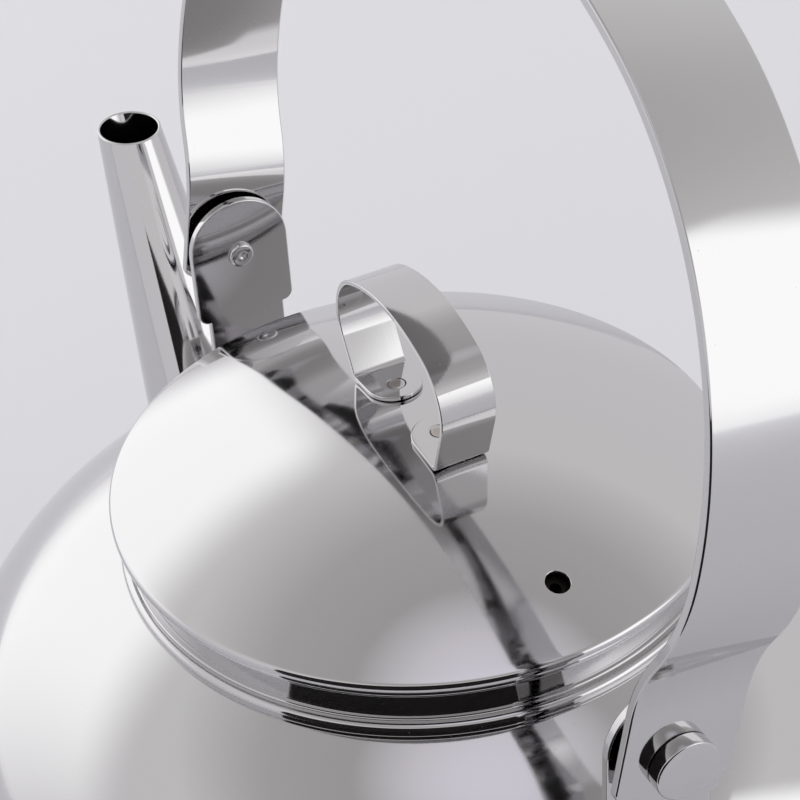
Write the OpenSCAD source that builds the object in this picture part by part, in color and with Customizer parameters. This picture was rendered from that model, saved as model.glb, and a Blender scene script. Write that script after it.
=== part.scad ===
// Stovetop kettle in polished stainless steel sheet: domed body, straight raised spout,
// lift-off lid with a bent strip knob, and a strip bail handle that swings on two rivets.
// Millimetres. +Z up, +X towards the spout, origin at the centre of the base, on the hob.

/* [Body] */
// Largest outside diameter of the body
body_d = 218; // [180:1:270]
// Sheet thickness of the body
body_wall = 0.8; // [0.6:0.1:1.2]
// Height of the widest line above the hob
widest_z = 87; // [70:1:110]
// Rise of the dome's ellipse above the widest line, taken at the centre line
dome_rise = 60.3; // [48:0.1:75]
// Radius of the gentle barrel curve below the widest line
barrel_r = 400; // [250:10:800]
// Radius of the bottom corner
corner_r = 22; // [14:1:30]

/* [Base] */
// Thickness of the aluminium heat-spreading disc
core_t = 4; // [2.5:0.5:6]
// Diameter of the aluminium disc
core_d = 144; // [110:1:150]
// Sheet thickness of the steel cap under the disc
cap_t = 0.6; // [0.4:0.1:1]

/* [Neck] */
// Outside diameter of the neck's wall
neck_d = 126; // [100:1:136]
// Sheet thickness of the neck ring
neck_wall = 0.8; // [0.6:0.1:1.2]
// Height of the neck ring above the dome
neck_h = 11.8; // [8:0.1:16]
// Radius of the half-round bead at the foot of the neck
bead_r = 1.45; // [0.8:0.05:2]
// Radius of the rolled lip at the top of the neck
lip_r = 1; // [0.6:0.05:1.5]

/* [Lid] */
// How far the lid stands out past the neck's wall, all round
lid_overhang = 3; // [2:0.1:6]
// Sheet thickness of the lid
lid_wall = 0.8; // [0.6:0.1:1]
// Radius of the lid's dome
lid_dome_r = 152; // [110:1:260]
// Outer radius of the lid's turned-down edge
lid_edge_r = 1.4; // [1.1:0.1:2.5]
// Straight part of the lid's edge
lid_edge_h = 0.6; // [0.2:0.1:3]
// Dark gap between the lid's edge and the neck's lip
lid_gap = 1.2; // [0.9:0.1:2]
// Sheet thickness of the locating skirt
skirt_wall = 0.7; // [0.5:0.1:1]
// Depth of the locating skirt below the neck's lip
skirt_depth = 9; // [5:0.5:12]
// Diameter of the steam vent
vent_d = 5; // [3:0.1:6]
// Distance from the neck's outer face in to the middle of the vent
vent_inset = 11; // [10:0.5:25]
// Turn of the vent past the rear of the lid
vent_turn = 3.5; // [0:0.5:20]

/* [Whistle] */
// Outside diameter of the whistle cup
whistle_d = 14; // [10:0.5:16]
// Height of the whistle cup
whistle_h = 4; // [3:0.1:6]
// Sheet thickness of the cup and the disc
whistle_wall = 0.5; // [0.3:0.05:0.7]
// Diameter of the two steam holes
whistle_hole_d = 2.4; // [1.5:0.1:3]

/* [Knob] */
// Width of the knob's strip
knob_w = 12.2; // [8:0.1:16]
// Thickness of the knob's strip
knob_t = 1; // [0.8:0.1:1.5]
// Radius of the knob's flat crown, outside
knob_crown_r = 40; // [30:1:60]
// Half angle of the crown's arc
knob_crown_angle = 24; // [15:1:30]
// Radius of the knob's rounded sides, outside
knob_side_r = 12.5; // [9:0.5:16]
// Inward lean of the knob's leg on the spout's side
knob_front_lean = 29; // [12:1:40]
// Inward lean of the knob's other leg
knob_rear_lean = 18; // [12:1:40]
// Height of the crown above the lid's apex
knob_h = 28.6; // [24:0.1:40]
// Radius of the bend between leg and foot, outside
knob_bend_r = 2.2; // [1.3:0.1:3]
// Half gap between the tips of the two feet
knob_tip_x = 4.5; // [2:0.5:8]

/* [Spout] */
// Distance of the mouth's centre outside the widest line
mouth_reach = 59; // [50:1:75]
// Height of the mouth above the lid's lower edge
mouth_above_rim = 2; // [-10:0.5:10]
// Outer radius of the mouth, square to the spout
mouth_r = 8.4; // [6:0.1:12]
// Growth of the radius for each millimetre down the spout
spout_taper = 0.088; // [0.05:0.002:0.1]
// Lean of the straight part, from upright
spout_lean = 24; // [20:0.5:30]
// Height at which the straight part ends and the elbow starts
elbow_z = 88; // [75:1:95]
// Bend radius of the elbow
elbow_r = 60; // [50:1:70]
// Angle of the elbow
elbow_angle = 41; // [35:1:48]
// Sheet thickness of the spout
spout_wall = 0.8; // [0.6:0.1:1.2]

/* [Ears] */
// Distance of an ear's inner face inside the widest line
ear_inset = 15.3; // [12:0.1:22]
// Thickness of an ear
ear_t = 2; // [1.5:0.1:3]
// Width of an ear
ear_w = 25; // [20:0.5:32]
// Height of the round top's centre above the pivot
ear_crown_rise = 2.2; // [0:0.1:4]
// Depth of the wide part below the pivot
ear_depth = 17.1; // [14:0.1:18]
// Radius of the ear's lower corners
ear_corner_r = 2.5; // [1:0.5:5]
// Width of the neck that joins the ear to the body
ear_neck_w = 19.5; // [10:0.5:22]
// Length of the foot along the body, outwards from the ear
ear_foot_l = 9; // [6:0.5:11]
// Corner radius of an ear's foot
ear_foot_r = 4; // [2:0.5:5]

/* [Rivets] */
// Height of the pivot above the lid's lower edge
pivot_above_rim = 3; // [0:0.5:12]
// Diameter of the rivet's shank
rivet_d = 5; // [4:0.1:6.5]
// Diameter of the rivet's flat head
head_d = 13; // [9:0.5:16]
// Thickness of the head
head_t = 3.1; // [1.5:0.1:4.5]
// Diameter of the peened tail
tail_d = 6.3; // [5.5:0.1:8]
// Height of the peened tail
tail_t = 1.2; // [0.8:0.1:2]
// Diameter of the spacer washer
washer_d = 14; // [11:0.5:18]
// Thickness of the spacer washer
washer_t = 1.8; // [1:0.1:4]

/* [Handle] */
// Width of the handle's strip
strip_w = 25; // [18:0.5:32]
// Thickness of the handle's strip
strip_t = 2; // [1.5:0.1:3]
// Straight length above the pivot
strip_rise = 12; // [8:0.5:20]
// How far the arch bulges past the straight ends, on each side
bulge = 9.3; // [4:0.1:14]
// Radius of the lower, outward bend
flare_r = 34; // [25:1:60]
// Radius of the upper bend, back to upright
return_r = 45; // [30:1:70]
// Radius of the arch's shoulders
shoulder_r = 80; // [60:1:96]
// Half angle of the arch's flatter crown
crown_angle = 25; // [18:1:35]
// Depth of the strip's end below the pivot
end_drop = 10; // [8:0.5:14]
// Radius of the strip's end
end_r = 20; // [13:0.5:40]
// Lean of the handle at rest, towards -Y
rest_lean = 10; // [0:1:30]

/* [Fits] */
// Radial running clearance of the handle on the rivets
running_clearance = 0.05; // [0.03:0.01:0.1]
// Clearance on each side of the handle's strip
side_clearance = 0.15; // [0.1:0.01:0.3]
// Clearance of a riveted or threaded-through piece that doesn't turn
fixed_clearance = 0.02; // [0.01:0.01:0.05]
// Radial clearance of the lid's skirt in the neck
skirt_clearance = 0.5; // [0.3:0.1:1]
// Clearance under the lid's seat
seat_clearance = 0.3; // [0.1:0.05:0.5]

/* [Hidden] */

steel = "#c6c8ca";
steel_dark = "#a9abae";
aluminium = "#d5d6d8";

// Circles and arcs of revolution stay round. Curves that are drawn as points are cut into short flats.
$fn = 180;
over = 1;               // how far a cutter passes the face it cuts
dome_steps = 28;        // bands of the dome, from the widest line to the centre line
arc_steps = 12;         // points along a bend
spout_sides = 36;       // flats round the spout
elbow_steps = 9;        // rings along the elbow

body_r = body_d / 2;
body_bottom_z = core_t + cap_t;
neck_r = neck_d / 2;
// The neck's bead stands on the dome at this radius
neck_seat_r = neck_r + bead_r / 2;
neck_foot_z = dome_z(neck_seat_r);
neck_top_z = neck_foot_z + neck_h;

lid_r = neck_r + lid_overhang;
lid_bottom_z = neck_top_z + lid_gap;
lid_edge_z = lid_bottom_z + lid_edge_h;
// Angle from the lid's axis at which its dome runs into the turned-down edge
lid_angle = asin((lid_r - lid_edge_r) / (lid_dome_r - lid_edge_r));
lid_centre_z = lid_edge_z - (lid_dome_r - lid_edge_r) * cos(lid_angle);
lid_apex_z = lid_centre_z + lid_dome_r;
vent_r = neck_r - vent_inset;
skirt_r = neck_r - neck_wall - skirt_clearance;
seat_z = neck_top_z + seat_clearance;

pivot_z = lid_bottom_z + pivot_above_rim;
ear_x = body_r - ear_inset;
strip_x = ear_x + ear_t + washer_t + side_clearance;
head_x = strip_x + strip_t + side_clearance;

mouth_x = body_r + mouth_reach;
mouth_z = lid_bottom_z + mouth_above_rim;
straight_l = (mouth_z - elbow_z) / cos(spout_lean);
elbow_l = elbow_r * elbow_angle * PI / 180;
root_l = 22;            // hidden length of the spout's sweep inside the wall
cap_edge_r = 1.5 * cap_t;
cap_r = core_d / 2 + fixed_clearance + cap_t;
knob_seat_gap = 0.05;   // the spot weld's film between foot and lid
// Where a knob foot lies tangent to the lid
knob_foot_x = knob_tip_x + knob_w / 2;
// Where the whistle's cup meets the underside of the lid, from the dome's centre of curvature
whistle_top = sqrt(pow(lid_dome_r - lid_wall, 2) - pow(whistle_d / 2, 2));

// Height of the body's outer surface at a radius, above the widest line
function dome_z(r) = widest_z + dome_rise * sqrt(max(0, 1 - pow(r / body_r, 2)));

// Points on an arc from angle a to angle b about a centre
function arc(centre, r, a, b, steps = arc_steps) =
    [for (i = [0:steps]) centre + r * [cos(a + (b - a) * i / steps), sin(a + (b - a) * i / steps)]];

function reversed(points) = [for (i = [len(points) - 1:-1:0]) points[i]];
function mirrored(points) = [for (p = points) [-p[0], p[1]]];

// A bent strip seen from its edge, from the two faces of its right half and of its mirrored left half
function strip_outline(face, back, left_face, left_back) =
    concat(face, reversed(mirrored(left_face)), mirrored(left_back), reversed(back));

// Half section of the body as a solid, grown outwards by a distance
module body_section(grow = 0) {
    barrel_centre = [body_r - barrel_r, widest_z];
    barrel_angle = asin((widest_z - body_bottom_z - corner_r) / (barrel_r - corner_r));
    corner_centre = barrel_centre + (barrel_r - corner_r) * [cos(barrel_angle), -sin(barrel_angle)];
    polygon(concat(
        [[0, body_bottom_z - grow]],
        arc(corner_centre, corner_r + grow, -90, -barrel_angle),
        arc(barrel_centre, barrel_r + grow, -barrel_angle, 0),
        [for (i = [1:dome_steps])
            [(body_r + grow) * cos(90 * i / dome_steps),
             widest_z + (dome_rise + grow) * sin(90 * i / dome_steps)]]
    ));
}

module body_solid(grow = 0) {
    rotate_extrude() body_section(grow);
}

module body_sheet() {
    difference() {
        body_section();
        body_section(-body_wall);
    }
}

module body_dome() {
    color(steel) rotate_extrude() intersection() {
        body_sheet();
        translate([neck_r - neck_wall, widest_z]) square([body_r, dome_rise]);
    }
}

module body_pan() {
    color(steel) difference() {
        rotate_extrude() intersection() {
            body_sheet();
            square([body_r, widest_z]);
        }
        spout_sweep(spout_wall);
    }
}

module base_core() {
    color(aluminium) translate([0, 0, cap_t]) cylinder(d = core_d, h = core_t);
}

module base_cap() {
    color(steel) rotate_extrude() difference() {
        union() {
            square([cap_r - cap_edge_r, cap_edge_r]);
            translate([0, cap_edge_r]) square([cap_r, body_bottom_z - cap_edge_r]);
            translate([cap_r - cap_edge_r, cap_edge_r]) circle(cap_edge_r);
        }
        translate([0, cap_t]) square([cap_r - cap_t, body_bottom_z]);
    }
}

module neck_ring() {
    color(steel) rotate_extrude() difference() {
        union() {
            translate([neck_r - neck_wall, neck_foot_z - over])
                square([neck_wall, neck_h + over - lip_r]);
            translate([neck_r - neck_wall, neck_top_z - 2 * lip_r]) square([lip_r, 2 * lip_r]);
            translate([neck_r + lip_r - neck_wall / 2, neck_top_z - lip_r]) circle(lip_r);
            translate([neck_r - neck_wall, neck_foot_z - over])
                square([neck_wall + bead_r / 2, over + 2 * bead_r]);
            translate([neck_r + bead_r / 2, neck_foot_z + bead_r]) circle(bead_r);
        }
        body_section();
    }
}

// Centre and heading of the spout's axis at a distance down from the mouth, in the XZ plane
function spout_centre(l) =
    let(up = [sin(spout_lean), cos(spout_lean)],
        left = [-cos(spout_lean), sin(spout_lean)],
        bend_start = [mouth_x, mouth_z] - straight_l * up,
        turned = min(max(l - straight_l, 0), elbow_l) / elbow_r * 180 / PI,
        past = max(l - straight_l - elbow_l, 0))
    l < straight_l ? [mouth_x, mouth_z] - l * up
        : bend_start + elbow_r * left
            - elbow_r * [-cos(spout_lean + turned), sin(spout_lean + turned)]
            - past * [sin(spout_lean + turned), cos(spout_lean + turned)];

function spout_turn(l) = spout_lean + min(max(l - straight_l, 0), elbow_l) / elbow_r * 180 / PI;

// Solid sweep of the spout, with its surface set in by a distance
module spout_sweep(inset = 0) {
    stations = concat(
        [-mouth_r, straight_l / 2],
        [for (i = [0:elbow_steps]) straight_l + elbow_l * i / elbow_steps],
        [straight_l + elbow_l + root_l]
    );
    rings = [for (l = stations)
        let(c = spout_centre(l), a = spout_turn(l), r = mouth_r + spout_taper * l - inset)
        [for (k = [0:spout_sides - 1])
            let(b = 360 * k / spout_sides)
            [c[0] + r * cos(b) * cos(a), r * sin(b), c[1] - r * cos(b) * sin(a)]]];
    last = len(rings) - 1;
    points = [for (ring = rings) each ring];
    faces = concat(
        [[for (k = [spout_sides - 1:-1:0]) k]],
        [for (i = [0:last - 1], k = [0:spout_sides - 1])
            let(n = (k + 1) % spout_sides)
            [i * spout_sides + k, i * spout_sides + n,
             (i + 1) * spout_sides + n, (i + 1) * spout_sides + k]],
        [[for (k = [0:spout_sides - 1]) last * spout_sides + k]]
    );
    polyhedron(points, faces, convexity = 4);
}

module spout_tube() {
    color(steel) difference() {
        spout_sweep();
        spout_sweep(spout_wall);
        body_solid();
        translate([body_r, -body_r, mouth_z]) cube(body_d);
    }
}

// One ear on the +X side
module ear() {
    crown_r = ear_w / 2;
    color(steel) difference() {
        union() {
            translate([ear_x, 0, pivot_z]) rotate([90, 0, 90]) linear_extrude(ear_t) {
                translate([0, ear_crown_rise]) circle(crown_r);
                translate([-crown_r, ear_corner_r - ear_depth])
                    square([ear_w, ear_crown_rise + ear_depth - ear_corner_r]);
                translate([ear_corner_r - crown_r, -ear_depth])
                    square([ear_w - 2 * ear_corner_r, ear_depth]);
                for (s = [-1, 1])
                    translate([s * (crown_r - ear_corner_r), ear_corner_r - ear_depth])
                        circle(ear_corner_r);
                translate([-ear_neck_w / 2, widest_z - pivot_z])
                    square([ear_neck_w, pivot_z - widest_z]);
            }
            ear_foot();
        }
        body_solid();
        pivot_hole(fixed_clearance);
    }
}

// The ear's foot follows the body's curve
module ear_foot() {
    tip_x = ear_x + ear_foot_l;
    side_y = ear_neck_w / 2;
    intersection() {
        body_solid(ear_t);
        translate([0, 0, widest_z + over]) linear_extrude(dome_rise) {
            translate([ear_x, -side_y]) square([ear_foot_l - ear_foot_r, ear_neck_w]);
            translate([tip_x - ear_foot_r, ear_foot_r - side_y])
                square([ear_foot_r, ear_neck_w - 2 * ear_foot_r]);
            for (s = [-1, 1])
                translate([tip_x - ear_foot_r, s * (side_y - ear_foot_r)]) circle(ear_foot_r);
        }
    }
}

module pivot_hole(clearance) {
    translate([0, 0, pivot_z]) rotate([0, 90, 0])
        cylinder(r = rivet_d / 2 + clearance, h = body_d);
}

module washer() {
    color(steel_dark) difference() {
        translate([ear_x + ear_t, 0, pivot_z]) rotate([0, 90, 0]) cylinder(d = washer_d, h = washer_t);
        pivot_hole(fixed_clearance);
    }
}

module rivet() {
    color(steel) translate([0, 0, pivot_z]) rotate([0, 90, 0]) {
        translate([0, 0, ear_x - tail_t]) cylinder(d = tail_d, h = tail_t);
        translate([0, 0, ear_x - tail_t]) cylinder(d = rivet_d, h = head_x - ear_x + tail_t + over);
        translate([0, 0, head_x]) cylinder(d = head_d, h = head_t);
    }
}

// Right half of one face of the handle's strip, set out from the inner face by a distance.
// Heights are above the pivot.
function handle_face(out) =
    let(bend_angle = acos(1 - bulge / (flare_r + return_r)),
        flare_c = [strip_x + flare_r, strip_rise],
        return_c = flare_c + (flare_r + return_r) * [-cos(bend_angle), sin(bend_angle)],
        shoulder_c = [strip_x + bulge - shoulder_r, return_c[1]],
        crown_r = shoulder_r + shoulder_c[0] / sin(crown_angle),
        crown_c = [0, shoulder_c[1] - (crown_r - shoulder_r) * cos(crown_angle)])
    concat(
        [[strip_x + out, -end_r]],
        arc(flare_c, flare_r - out, 180, 180 - bend_angle),
        arc(return_c, return_r + out, -bend_angle, 0),
        arc(shoulder_c, shoulder_r + out, 0, 90 - crown_angle),
        arc(crown_c, crown_r + out, 90 - crown_angle, 90)
    );

module handle_strip() {
    arch_h = handle_face(strip_t)[len(handle_face(strip_t)) - 1][1];
    color(steel) difference() {
        translate([0, 0, pivot_z]) rotate([rest_lean, 0, 0]) intersection() {
            rotate([90, 0, 0]) translate([0, 0, -strip_w / 2]) linear_extrude(strip_w)
                polygon(strip_outline(handle_face(0), handle_face(strip_t),
                    handle_face(0), handle_face(strip_t)));
            rotate([90, 0, 90]) translate([0, 0, -body_d]) linear_extrude(2 * body_d) {
                translate([-strip_w / 2, 0]) square([strip_w, arch_h + over]);
                intersection() {
                    translate([0, end_r - end_drop]) circle(end_r);
                    translate([-strip_w / 2, -end_drop]) square([strip_w, end_drop]);
                }
            }
        }
        pivot_hole(running_clearance);
        mirror([1, 0, 0]) pivot_hole(running_clearance);
    }
}

module lid_shell() {
    edge_c = [lid_r - lid_edge_r, lid_edge_z];
    edge_angle = 90 - lid_angle;
    color(steel) difference() {
        rotate_extrude() polygon(concat(
            arc([0, lid_centre_z], lid_dome_r, 90, edge_angle, dome_steps),
            arc(edge_c, lid_edge_r, edge_angle, 0),
            [[lid_r, lid_bottom_z], [lid_r - lid_wall, lid_bottom_z]],
            arc(edge_c, lid_edge_r - lid_wall, 0, edge_angle),
            arc([0, lid_centre_z], lid_dome_r - lid_wall, edge_angle, 90, dome_steps)
        ));
        at_vent() cylinder(d = vent_d, h = 2 * lid_dome_r);
    }
}

// Moves to the lid dome's centre of curvature, with Z out through the vent
module at_vent() {
    translate([0, 0, lid_centre_z]) rotate([0, 0, 180 + vent_turn])
        rotate([0, asin(vent_r / lid_dome_r), 0]) children();
}

module lid_skirt() {
    inner_r = skirt_r - skirt_wall;
    top_z = lid_centre_z + sqrt(pow(lid_dome_r - lid_wall, 2) - pow(skirt_r, 2));
    color(steel_dark) rotate_extrude() {
        translate([inner_r, neck_top_z - skirt_depth])
            square([skirt_wall, top_z - neck_top_z + skirt_depth]);
        translate([inner_r, seat_z]) square([neck_r + lip_r - inner_r, skirt_wall]);
    }
}

module whistle_cup() {
    color(steel_dark) at_vent() difference() {
        translate([0, 0, whistle_top - whistle_h]) cylinder(d = whistle_d, h = whistle_h);
        translate([0, 0, whistle_top - whistle_h + whistle_wall])
            cylinder(d = whistle_d - 2 * whistle_wall, h = whistle_h);
        cylinder(d = whistle_hole_d, h = lid_dome_r);
    }
}

module whistle_disc() {
    color(steel) at_vent() difference() {
        translate([0, 0, whistle_top - whistle_h / 2])
            cylinder(d = whistle_d - 2 * whistle_wall - 2 * fixed_clearance, h = whistle_wall);
        cylinder(d = whistle_hole_d, h = lid_dome_r);
    }
}

// One half of one face of the knob's strip, set in from the outer face by a distance
function knob_face(in, lean) =
    let(foot_slope = asin(knob_foot_x / lid_dome_r),
        top_z = lid_apex_z + knob_h,
        crown_c = [0, top_z - knob_crown_r],
        side_c = crown_c + (knob_crown_r - knob_side_r) * [sin(knob_crown_angle), cos(knob_crown_angle)],
        leg_dir = [-sin(lean), -cos(lean)],
        out_dir = [cos(lean), -sin(lean)],
        leg_top = side_c + (knob_side_r - knob_bend_r) * out_dir,
        foot_z = lid_dome_height(knob_foot_x) + knob_seat_gap,
        // The leg's length that brings the foot's face down to the lid
        leg_l = (leg_top[1] - foot_z - knob_bend_r / cos(foot_slope)
            + (leg_top[0] - knob_foot_x) * tan(foot_slope))
            / (cos(lean) + sin(lean) * tan(foot_slope)),
        bend_c = leg_top + leg_dir * leg_l,
        foot_start = bend_c + (knob_bend_r - in) * [-sin(foot_slope), -cos(foot_slope)],
        foot_l = bend_c[0] - knob_tip_x)
    concat(
        [foot_start + foot_l * [-cos(foot_slope), sin(foot_slope)]],
        arc(bend_c, knob_bend_r - in, -90 - foot_slope, -lean),
        arc(side_c, knob_side_r - in, -lean, 90 - knob_crown_angle),
        arc(crown_c, knob_crown_r - in, 90 - knob_crown_angle, 90)
    );

function lid_dome_height(r) = lid_centre_z + sqrt(pow(lid_dome_r, 2) - pow(r, 2));

module knob_strip() {
    color(steel) difference() {
        rotate([90, 0, 0]) translate([0, 0, -knob_w / 2]) linear_extrude(knob_w)
            polygon(strip_outline(knob_face(0, knob_front_lean), knob_face(knob_t, knob_front_lean),
                knob_face(0, knob_rear_lean), knob_face(knob_t, knob_rear_lean)));
        // Rounds the tips of the two feet
        for (s = [0, 180])
            rotate([0, 0, s]) translate([0, 0, lid_apex_z - 2 * knob_t]) linear_extrude(4 * knob_t)
                difference() {
                    translate([0, -knob_w]) square([knob_foot_x, 2 * knob_w]);
                    translate([knob_foot_x, 0]) circle(d = knob_w);
                }
    }
}

body_dome();
body_pan();
base_core();
base_cap();
neck_ring();
spout_tube();
ear();  // front_ear
mirror([1, 0, 0]) ear();  // rear_ear
washer();  // front_washer
mirror([1, 0, 0]) washer();  // rear_washer
rivet();  // front_rivet
mirror([1, 0, 0]) rivet();  // rear_rivet
handle_strip();
lid_shell();
lid_skirt();
knob_strip();
whistle_cup();
whistle_disc();
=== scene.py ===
"""A hob kettle in mirror-polished stainless steel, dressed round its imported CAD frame.

Sizes in the classes are millimetres, as the maker's drawing has them. Meshes are in metres.
"""

import logging
import math
from collections.abc import Callable
from dataclasses import dataclass
from enum import Enum

import bpy
import numpy as np
from mathutils import Matrix, Vector
from mathutils.kdtree import KDTree


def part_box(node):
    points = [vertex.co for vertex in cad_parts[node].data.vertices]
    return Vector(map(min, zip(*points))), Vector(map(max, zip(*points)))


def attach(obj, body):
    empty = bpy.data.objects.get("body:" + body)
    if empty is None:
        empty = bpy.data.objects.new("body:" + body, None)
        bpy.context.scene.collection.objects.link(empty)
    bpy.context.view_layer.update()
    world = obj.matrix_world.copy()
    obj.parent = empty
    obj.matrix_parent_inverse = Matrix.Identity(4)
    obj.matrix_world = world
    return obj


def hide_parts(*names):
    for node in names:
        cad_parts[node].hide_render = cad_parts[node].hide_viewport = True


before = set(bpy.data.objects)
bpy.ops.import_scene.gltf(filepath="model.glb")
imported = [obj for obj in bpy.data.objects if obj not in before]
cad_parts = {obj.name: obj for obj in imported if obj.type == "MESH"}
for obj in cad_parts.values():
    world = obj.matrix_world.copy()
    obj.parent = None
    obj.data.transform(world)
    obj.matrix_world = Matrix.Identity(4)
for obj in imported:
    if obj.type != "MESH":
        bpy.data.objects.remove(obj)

log = logging.getLogger("kettle")

MM = 0.001
TAU = 2 * math.pi
SAME_POINT = 1e-5        # millimetres under which two points of an outline are one
WELD_GRID = 1e-4         # millimetres to which a surface's points are joined
KEPT_VERTEX = 1e-8       # metres within which a cut mesh's vertex is one of the old ones
SAME_SIDE = 0.4          # least cosine between a vertex's old normal and its new face's
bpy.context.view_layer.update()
MIRROR_X = Matrix.Diagonal((-1, 1, 1, 1))


class Body(Enum):
    """The CAD bodies that a piece can ride on."""

    KETTLE = "kettle"
    HANDLE = "handle"
    LID = "lid"


class Slot(Enum):
    """The record's material slots."""

    POLISHED = "polished_steel"
    PLAIN = "plain_steel"
    ALUMINIUM = "aluminium_disc"


class Grain(Enum):
    """Which way the polishing lines run on a piece."""

    ROUND = "round the kettle's axis"
    ARCH = "along a strip that is bent in the XZ plane"


def low(node: str, axis: int) -> float:
    """Lowest coordinate of a CAD node along an axis, in millimetres."""
    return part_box(node)[0][axis] / MM


def high(node: str, axis: int) -> float:
    """Highest coordinate of a CAD node along an axis, in millimetres."""
    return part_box(node)[1][axis] / MM


# ---------------------------------------------------------------------------
# Outlines and meshes
# ---------------------------------------------------------------------------


@dataclass
class Outline:
    """A curve in a plane with the outward normal at each of its points."""

    points: np.ndarray
    normals: np.ndarray


def arc(centre: tuple, radius: float, start: float, end: float, steps: int) -> np.ndarray:
    """Points on an arc.

    Args:
        centre: The arc's centre.
        radius: Its radius.
        start: Angle of the first point, in degrees.
        end: Angle of the last point, in degrees.
        steps: Number of chords.

    Returns:
        An array of steps + 1 points.
    """
    a = np.radians(np.linspace(start, end, steps + 1))
    return np.column_stack((centre[0] + radius * np.cos(a), centre[1] + radius * np.sin(a)))


def outline(parts: list, left: bool = True) -> Outline:
    """Joins runs of points into a smooth outline with normals.

    Args:
        parts: Arrays of points, each starting where the last one ended.
        left: True if the outward side is to the left of the way it is walked.

    Returns:
        The outline, with repeated points dropped.
    """
    points = np.vstack(parts)
    keep = np.ones(len(points), bool)
    keep[1:] = np.linalg.norm(np.diff(points, axis=0), axis=1) > SAME_POINT
    points = points[keep]
    step = np.diff(points, axis=0)
    length = np.linalg.norm(step, axis=1)[:, None]
    unit = step / length
    tangent = np.vstack((unit[:1], unit[:-1] * length[1:] + unit[1:] * length[:-1], unit[-1:]))
    tangent[0] = unit[0] + (unit[0] - tangent[1] / np.linalg.norm(tangent[1]))
    tangent[-1] = unit[-1] + (unit[-1] - tangent[-2] / np.linalg.norm(tangent[-2]))
    tangent /= np.linalg.norm(tangent, axis=1)[:, None]
    side = 1.0 if left else -1.0
    return Outline(points, side * np.column_stack((-tangent[:, 1], tangent[:, 0])))


def rounded(corners: list, steps: int = 8) -> Outline:
    """A closed outline through corners, each rounded by its own radius.

    Args:
        corners: (x, y, radius) for each corner, walked clockwise.
        steps: Chords in each rounding.

    Returns:
        The outline. Its last point is its first again.
    """
    points, normals = [], []
    count = len(corners)
    for k in range(count):
        here = np.array(corners[k][:2], float)
        before = np.array(corners[k - 1][:2], float) - here
        after = np.array(corners[(k + 1) % count][:2], float) - here
        before /= np.linalg.norm(before)
        after /= np.linalg.norm(after)
        turn = before[0] * after[1] - before[1] * after[0]
        half = math.acos(max(-1.0, min(1.0, float(before @ after)))) / 2
        radius = corners[k][2]
        middle = (before + after) / np.linalg.norm(before + after)
        centre = here + middle * radius / math.sin(half)
        sign = 1.0 if turn > 0 else -1.0
        first = np.array([before[1], -before[0]])
        last = np.array([-after[1], after[0]])
        sweep = math.acos(max(-1.0, min(1.0, float(first @ last))))
        for s in np.linspace(0, 1, steps + 1):
            n = (math.sin((1 - s) * sweep) * first + math.sin(s * sweep) * last) / math.sin(sweep)
            points.append(centre + sign * radius * n)
            normals.append(n)
    points.append(points[0])
    normals.append(normals[0])
    return Outline(np.array(points), np.array(normals))


def sheet(face: Outline, wall: float, edge: float, poles: tuple = (False, False)) -> Outline:
    """The whole edge-on outline of a bent sheet, from the curve of its outer face.

    Args:
        face: The outer face.
        wall: Thickness of the sheet.
        edge: Radius on the sheet's cut edges.
        poles: Whether the face's start and end lie on the axis, where there is no cut edge.

    Returns:
        Outer face, far edge, inner face and near edge, in one run. It is closed unless an end
        is a pole.
    """
    outer, n = face.points.copy(), face.normals
    ahead = outer[-1] - outer[-2]
    ahead /= np.linalg.norm(ahead)
    behind = outer[0] - outer[1]
    behind /= np.linalg.norm(behind)

    def cut(at: np.ndarray, normal: np.ndarray, way: np.ndarray) -> tuple:
        """Rounds a cut edge, from the outer face to the inner one.

        Args:
            at: The sheet's outer corner before it is rounded.
            normal: The outer face's normal there.
            way: Unit vector out of the sheet through the cut edge.

        Returns:
            (points, normals), each an array.
        """
        pts, nrm = [], []
        for depth, start in ((edge, 0), (wall - edge, 90)):
            for a in np.radians(np.linspace(start, start + 90, 7)):
                m = normal * math.cos(a) + way * math.sin(a)
                pts.append(at - way * edge - normal * depth + m * edge)
                nrm.append(m)
        return np.array(pts), np.array(nrm)

    inner = outer - n * wall
    runs, norms = [], []
    trimmed = slice(0 if poles[0] else 1, len(outer) if poles[1] else len(outer) - 1)
    runs.append(outer[trimmed])
    norms.append(n[trimmed])
    if not poles[1]:
        p, m = cut(outer[-1], n[-1], ahead)
        runs.append(p)
        norms.append(m)
    runs.append(inner[trimmed][::-1])
    norms.append(-n[trimmed][::-1])
    if not poles[0]:
        p, m = cut(outer[0], n[0], behind)
        runs.append(p[::-1])
        norms.append(m[::-1])
        runs.append(runs[0][:1])
        norms.append(norms[0][:1])
    return Outline(np.vstack(runs), np.vstack(norms))


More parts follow.
